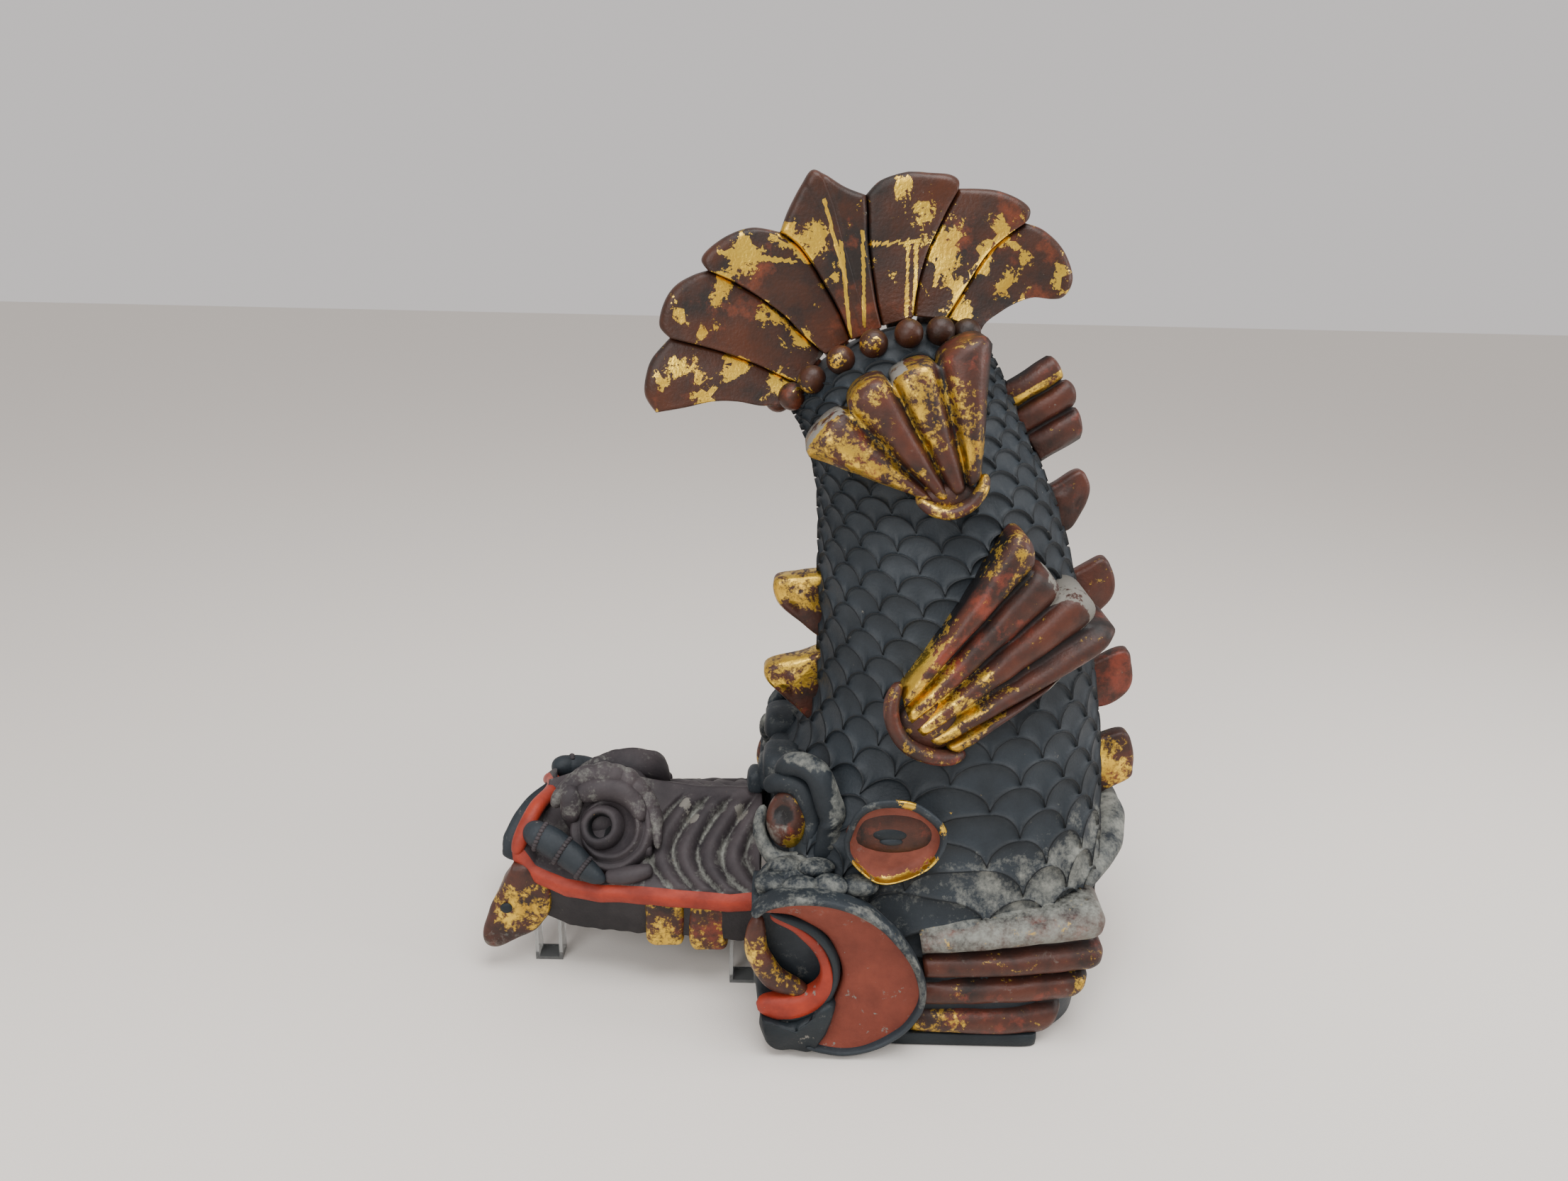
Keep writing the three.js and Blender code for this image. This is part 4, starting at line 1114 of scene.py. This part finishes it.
def makeGills():
    steps = gill["steps"]
    rim, edge = spline(gill["rim"], steps), spline(gill["edge"], steps)
    columns = [[] for _ in gill["levels"]]
    for r in range(steps):
        reach = edge[r] - rim[r]
        width = np.linalg.norm(reach)
        inward = unit(reach) if width > 3 else np.array([0.3, 0.95])
        for column, (share, inset, y) in zip(columns, gill["levels"]):
            flat = rim[r] + reach * share + inward * min(inset, width * 0.6) * (share < 1)
            column.append(np.array([flat[0], y, max(flat[1], 0.0)]))
    points = [p for column in columns for p in column]
    faces = sheetFaces(len(columns), steps)
    cut = (steps - 1) * gill["rimLevels"]
    dusty = {"dust": [0.62 if p[1] < -169 and p[2] > 50 else (0.46 if p[2] > 100 else 0.2) for p in points]}
    worn = {"dust": [0.10 + 0.3 * (p[2] > 128) for p in points], "chip": [0.16] * len(points)}
    shell = uneven((points, faces[:cut], dusty), 0.9, 0.05)
    plate = uneven((points, faces[cut:], worn), 0.9, 0.05)

    def onFace(name, sunk, sides, steps, power=1.0):
        path = [(x, sunk - gill["faceDepth"], z, w, d) for x, z, w, d in gill[name]]
        return bar(path, sides, steps, power=power)

    def upright(name, edge, count, bulge, size, scale):
        near, far = gill[name + "Depths"]
        half = (far - near) / 2
        return uneven(slab(gill[name], half, edge, count, bulge, -near - half), size, scale)

    band = onFace("band", 0, 14, 60)
    # the lip gets painted shade, darker towards its top
    lip = mark(uneven(onFace("lip", 1, 20, 60, 0.75), 0.8, 0.05), chip=0.16,
               groove=lambda p: 0.4 * min(1.0, max(0.0, (p[2] - 60) / 40)))
    tusk = mark(uneven(onFace("tusk", 3, 18, 44), 1.2, 0.06),
                gold=lambda p: 0.50 if 62 < p[2] < 104 else 0.26)
    stump = mark(upright("stump", 5, 90, 1.0, 2.6, 0.07), dust=0.12, chip=0.2)
    throat = mark(upright("throat", 3, 80, 0.0, 1.0, 0.05), dust=0.3)
    entries = painted(clay, both(shell, throat)) + painted(brick, both(plate))
    entries += painted(slateAndShade, both(band, stump)) + painted(vermilion, both(lip))
    entries += painted(finLacquer, both(tusk))
    piece("gillsAndMouth", entries)


makeGills()

# Hem across the belly, pectoral fins with their foot, and the bands under the hem

lowerBody = {
    "hem": [(88, -138, 98, 7, 6), (140, -137, 104, 10, 8), (186, -120, 110, 12, 10), (224, -92, 122, 14, 10),
            (250, -58, 132, 15, 10), (261, -28, 140, 15, 10), (264, 0, 142, 15, 10)],
    "pectoral": [((88, -142, 92), (233, -139, 113)), ((91, -143, 71), (234, -139, 82)),
                 ((94, -143, 48), (222, -139, 55)), ((86, -143, 20), (202, -139, 21))],
    "foot": {"low": (60, -155, 0), "high": (187, -100, 12)},
    "pad": ((148, -112, 56), (66, 19, 50)),
    "bandLevels": (44, 72, 100),
    "band": [(222, -70), (243, -36), (248, 0), (243, 36), (222, 70)], "bandSize": (8, 9),
}


def makeLowerBody():
    half = lowerBody["hem"]
    whole = half + [(x, -y, z, w, h) for x, y, z, w, h in half[:-1][::-1]]
    hem = mark(uneven(bar(whole, 16, 90, (0, 0, 1)), 2.0, 0.04), dust=0.9)
    bands = [bar([(x, y, z, *lowerBody["bandSize"]) for x, y in lowerBody["band"]], 12, 30, (0, 0, 1))
             for z in lowerBody["bandLevels"]]

    def finGold(k, f, t):
        return 0.5 if (k == 3 and t < 0.35) or (k == 2 and t > 0.9) else 0.2

    fin = fluted(lowerBody["pectoral"], 17, 30, finGold, along=44, spread=0.9, narrow=0.84)
    fin = uneven(mark(fin, dust=lambda p: 0.88 if p[2] > 82 + (p[0] - 92) * 0.12 else 0.22), 1.0, 0.05)
    # the flat foot under each pectoral fin is dark slate, painted as the shade it stands in
    low, high = (np.array(lowerBody["foot"][end]) for end in ("low", "high"))
    foot = ball((low + high) / 2, (high - low) / 2, 40, 12, power=0.18)
    pad = mark(ball(*lowerBody["pad"], 32, 16, power=0.5), dust=0.3)
    entries = painted(clay, [hem] + bands + both(pad))
    entries += painted(finLacquer, both(fin)) + painted(slateAndShade, both(foot))
    piece("hemAndPectorals", entries)


makeLowerBody()
print("head and lower body ready")

# Loose snout. Each station: x, half width at the lip, height of the lip's lower edge, ridge height.

snout = {
    "stations": [(-252, 66, 104, 138), (-232, 74, 90, 150), (-205, 82, 83, 160), (-175, 88, 82, 158),
                 (-140, 94, 85, 152), (-100, 98, 85, 147), (-65, 101, 84, 146), (-41, 102, 87, 147)],
    "steps": 130, "flankRows": 46, "roundRows": 12, "tipSetBack": 25, "tipRise": 34,
    "lipHeight": 12, "seam": 3, "wall": 33, "wallInset": 13, "wallHalf": 6, "palateRise": 8,
    "wrinkleFirst": -127, "wrinklePitch": 21, "wrinkleDepth": 12, "wrinkleApex": 0.36,
    "sweepLow": 23, "sweepHigh": 20,
    "nearDust": 0.5, "nearDustUntil": -136, "chips": [(-109, 0.80), (-100, 0.68), (-58, 0.76)],
    "chipReach": (6, 0.07),
    "frontLip": [(-250, -66, 113, 6, 6), (-244, -56, 130, 6, 7), (-236, -36, 143, 6, 7), (-230, -10, 142, 6, 7),
                 (-232, 20, 134, 6, 7), (-243, 52, 122, 6, 6), (-250, 66, 112, 6, 6)],
}


def snoutAt(x):
    rows = np.array(snout["stations"], float)
    return [np.interp(x, rows[:, 0], rows[:, k]) for k in (1, 2, 3)]


def wrinkle(x, share):
    apex = snout["wrinkleApex"]
    if share < apex:
        sweep = snout["sweepLow"] * ((apex - share) / apex) ** 2
    else:
        sweep = snout["sweepHigh"] * ((share - apex) / 0.44) ** 1.5
    turns = (x - sweep - snout["wrinkleFirst"]) / snout["wrinklePitch"]
    fade = min(1.0, max(0.0, (turns + 0.75) / 0.3)) * min(1.0, max(0.0, (0.93 - share) / 0.1))
    return fade, abs(math.cos(math.pi * turns)) ** 0.55


# One side of a section, from the palate round the wall and the lip up to the ridge: y, z, dust and painted
# shade, which is heaviest on the inner wall and in the palate
def snoutSide(k, x, half, lip, ridge):
    rag = 3 * noise.noise(Vector((x * 0.08, 3.1, 0)))
    wall = lip - 2 if k < 3 else lip - snout["wall"] + rag
    wallY, thick = snout["wallInset"] - half, snout["wallHalf"]
    palate, lipTop = lip + snout["palateRise"], lip + snout["lipHeight"]
    side = [(0.0, palate, 0, 0.2)]
    side += [(-half * s, palate - 4 * s / 0.55, 0, 0.3) for s in (0.2, 0.4, 0.55)]
    side += [(wallY + thick, wall, 0, 0.7), (wallY, wall - 1, 0.1, 0.6), (wallY - thick, wall + 1, 0.1, 0.55)]
    side += [(7 - half, lip - 1, 0, 0.6)]
    firstLip = len(side)
    side += [(2 - half, lip - 0.5, 0, 0), (-half, lip + 1.5, 0, 0), (-half - 1, (lip + lipTop) / 2, 0, 0),
             (-half - 0.5, lipTop, 0, 0)]
    lastLip = len(side)
    base = lipTop + snout["seam"]
    leastDust = snout["nearDust"] * (x < snout["nearDustUntil"])
    for i in range(snout["flankRows"]):
        share = i / (snout["flankRows"] - 1)
        fade, crest = wrinkle(x, share)
        lift = 0.75 * fade * (crest - 0.72) * snout["wrinkleDepth"] if 0.02 < share < 0.97 else 0.0
        # painted shade in the troughs of the wrinkles
        side.append(((5 - half) * (1 - share) - lift, base + (ridge - base) * share + lift,
                     max(fade * (1 - crest) * 1.1 + 0.14, leastDust), fade * max(0.0, 0.18 - crest) * 2))
    return side, firstLip, lastLip


def snoutChip(x, share):
    reachX, reachShare = snout["chipReach"]
    return sum(bell(x, atX, reachX) * bell(share, atShare, reachShare) for atX, atShare in snout["chips"])


def makeSnout():
    rings, values = [], {"dust": [], "groove": [], "chip": []}
    xs = np.linspace(snout["stations"][0][0], snout["stations"][-1][0], snout["steps"])
    for k, x in enumerate(xs):
        half, lip, ridge = snoutAt(x)
        side, firstLip, lastLip = snoutSide(k, x, half, lip, ridge)
        front = max(0.0, 1 - k / snout["roundRows"])
        seam = lip + snout["lipHeight"] + snout["seam"]
        ring = []
        for y, z, dust, groove in side + [(-y, z, d, g) for y, z, d, g in side[1:-1][::-1]]:
            arch = front * (1 - min(1.0, abs(y) / half) ** 2)
            rise = snout["tipRise"] * arch * max(0.0, 1 - (z - lip) / 60) if z < ridge - 8 else 0.0
            ring.append(np.array([x + snout["tipSetBack"] * arch, y, z + rise]))
            values["dust"].append(dust)
            values["groove"].append(groove)
            values["chip"].append(snoutChip(x, 1 - abs(y) / half) if z > seam and y < 0 else 0.0)
        rings.append(ring)
    points, faces, _ = loft(rings)
    for name, ends in (("dust", [0.0, 0.0]), ("groove", [0.3, 0.0]), ("chip", [0.0, 0.0])):
        values[name] += ends
    points, faces, values = uneven((points, faces, values), 0.9, 0.05)
    size = len(rings[0])
    lipFaces, clayFaces = [], []
    for index, f in enumerate(faces):
        column = index % size
        isLip = firstLip - 1 <= column < lastLip or size - lastLip <= column < size - firstLip + 1
        (lipFaces if isLip and len(f) == 4 else clayFaces).append(f)
    entries = [((points, clayFaces, values), snoutClay), ((points, lipFaces, {}), vermilion)]
    skin = piece("snoutSkin", entries)
    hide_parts("upper_jaw")
    piece("frontLip", [bar(snout["frontLip"], 14, 60, (1, 0, 0))], vermilion)


makeSnout()

face = {
    "nostril": {"at": (-177, -55, 135), "axis": (-0.10, -0.76, 0.62)},
    "nostrilProfile": [(0.05, -2.6), (8.6, -2.4), (9.2, -1), (9.8, 7), (12, 12), (15.5, 11), (18.5, 5),
                       (19.5, -4), (19.5, -20), (0.05, -20)],
    "ringAt": (-169, -58, 136),
    "ringProfile": [(0.05, -5), (19, -4), (21, 0.5), (24, 4), (26, 3), (27.5, -2), (29, -2), (32, 2), (35, 1),
                    (37, -5), (38, -14), (38, -26), (0.05, -26)],
    "nostrilHole": 9.9,
    "ruff": [(-220, -46, 148, 7, 7), (-212, -39, 158, 9, 9), (-196, -34, 169, 11, 10), (-181, -32, 173, 11, 10),
             (-168, -32, 172, 11, 10), (-156, -33, 168, 10, 10), (-145, -37, 160, 9, 9), (-136, -44, 149, 8, 8),
             (-130, -55, 136, 6, 7), (-129, -68, 123, 5, 5)],
    "dome": [(-200, -46, 156, 6, 6), (-190, -42, 162, 10, 9), (-176, -40, 164, 11, 10),
             (-160, -41, 161, 11, 10), (-149, -46, 153, 9, 9), (-142, -56, 142, 6, 7)],
    "stud": ((-138, -66, 120), (5, 4, 4.5)),
    "farDrop": 26, "ribs": 10, "ribDepth": 0.13,
    "noseMass": ((-182, 0, 130), (42, 56, 29)),
    "frontKnob": ((-204, -46, 152), (9, 12, 17)),
    "whisker": [(-242, -54, 130, 7, 7), (-232, -60, 130, 12, 11), (-216, -67, 125, 13, 12),
                (-199, -75, 117, 12, 11), (-184, -83, 109, 9, 9), (-170, -89, 104, 4, 4)],
    "joints": (15, 29, 43),
    "panel": [(-171, -82, 104, 5, 5), (-158, -83, 106, 7, 8), (-144, -82, 108, 7, 8), (-131, -80, 111, 5, 5)],
    "fang": [(-252, 106), (-261, 90), (-269, 72), (-277, 53), (-281, 37), (-279, 27), (-270, 24), (-255, 30),
             (-242, 37), (-231, 46), (-223, 58), (-220, 72), (-222, 86), (-232, 96), (-240, 106)],
    "fangMiddle": -66, "fangHalf": 8, "fangDot": ((-258, -75, 66), (5.5, 2.4, 5.0)),
    "farFang": [(-228, 56, 108, 18, 8), (-242, 50, 92, 24, 9), (-260, 42, 72, 24, 9), (-276, 34, 56, 16, 8),
                (-282, 32, 47, 8, 6)],
    "molars": [(-120.5, -82, 68), (-83.5, -82, 64)], "molarSize": (17, 12, 26),
}


def ribbed(path, sides, steps, ribs, depth):
    points, faces, values = bar(path, sides, steps)
    rows = spline([row[:3] for row in path], steps)
    moved = []
    for index, p in enumerate(points[:-2]):
        ring = index // sides
        wave = 1 - depth * (1 - abs(math.sin(math.pi * ribs * ring / (steps - 1))) ** 0.6)
        moved.append(rows[ring] + (p - rows[ring]) * wave)
    return moved + points[-2:], faces, values


def dropped(shape, down):
    points, faces, values = mirrored(shape)
    return [p - np.array([0, 0, down]) for p in points], faces, values


def makeFace():
    spot = face["nostril"]
    points, faces, _ = lathe(spot["at"], spot["axis"], face["nostrilProfile"], 60)
    axis = unit(np.array(spot["axis"]))
    # painted shade: the floor of the nostril hole is coloured near black
    holes = [np.linalg.norm(np.cross(p - np.array(spot["at"]), axis)) < face["nostrilHole"] for p in points]
    nostril = mark(uneven((points, faces, {"groove": [0.97 * hole for hole in holes]}), 0.9, 0.07), dust=0.26)
    ruff = mark(uneven(ribbed(face["ruff"], 20, 150, face["ribs"], face["ribDepth"]), 1.3, 0.06), dust=0.5)
    ring = mark(uneven(lathe(face["ringAt"], spot["axis"], face["ringProfile"], 60), 0.9, 0.07), dust=0.3)
    dome = mark(uneven(bar(face["dome"], 18, 40), 1.2, 0.06), dust=0.34)
    stud = mark(ball(*face["stud"], 20, 12, power=0.6), dust=0.1)
    mass = mark(uneven(ball(*face["noseMass"], 44, 22), 2.0, 0.05), dust=0.3)
    knob = mark(uneven(ball(*face["frontKnob"], 30, 18, power=0.8), 1.4, 0.06), dust=0.45)
    panel = mark(bar(face["panel"], 18, 30), dust=0.12)
    whisker = ribbed(face["whisker"], 22, 80, 4, 0.08)
    entries = painted(snoutClay, both(nostril, ring, panel, stud) + [ruff, dome, knob, mass])
    entries += painted(snoutClay, [dropped(made, face["farDrop"]) for made in (ruff, dome, knob)])
    entries += painted(clay, both(whisker))
    piece("nostrilsAndWhiskers", entries)


def makeWhiskerBeads():
    beads = []
    count = 60
    path = spline([row[:3] for row in face["whisker"]], count)
    widths = [row[3] for row in face["whisker"]]
    out = unit(np.array([0.0, -1.0, 0.45]))
    for joint in face["joints"]:
        at, ahead = path[joint], unit(path[joint + 1] - path[joint - 1])
        side = unit(np.cross(ahead, out))
        radius = np.interp(joint, np.linspace(0, count - 1, len(widths)), widths) * 0.97
        for k in range(-5, 6):
            a = k * 0.27
            p = at + (out * math.cos(a) + side * math.sin(a)) * radius
            beads += [((p[0], p[1] * turn, p[2]), (2.4, 2.0, 1.9)) for turn in (1, -1)]
    balls("whiskerBeads", beads, "snout_clay", snoutClay, roundness=2, dust=0.25)


def makeTeeth():
    near = uneven(slab(face["fang"], face["fangHalf"], 5, 110, 1.5, face["fangMiddle"]), 1.6, 0.06)
    near = mark(near, gold=lambda p: 0.52 if 42 < p[2] < 92 and p[0] > -270 else 0.10,
                dust=lambda p: 0.5 if p[2] < 42 else 0.05)
    far = mark(uneven(bar(face["farFang"], 22, 34), 1.6, 0.05), dust=0.22)
    molars = []
    for at in face["molars"]:
        tooth = uneven(ball(at, face["molarSize"], 32, 18, power=0.42), 1.4, 0.06)
        molars.append(mark(tooth, gold=lambda p: 0.58 if p[2] > 80 or p[2] < 56 else 0.38))
    entries = [(near, finLacquer), (far, clay), (ball(*face["fangDot"], 20, 10), slateAndShade)]
    piece("teeth", entries + painted(finLacquer, both(*molars)))


makeFace()
makeWhiskerBeads()
makeTeeth()
print("snout ready")

# Clear props keep their solids and get the acrylic

for place in ("front_near", "front_far", "rear_near", "rear_far"):
    bpy.data.objects["jaw_prop_" + place].material_slots[0].material = acrylic
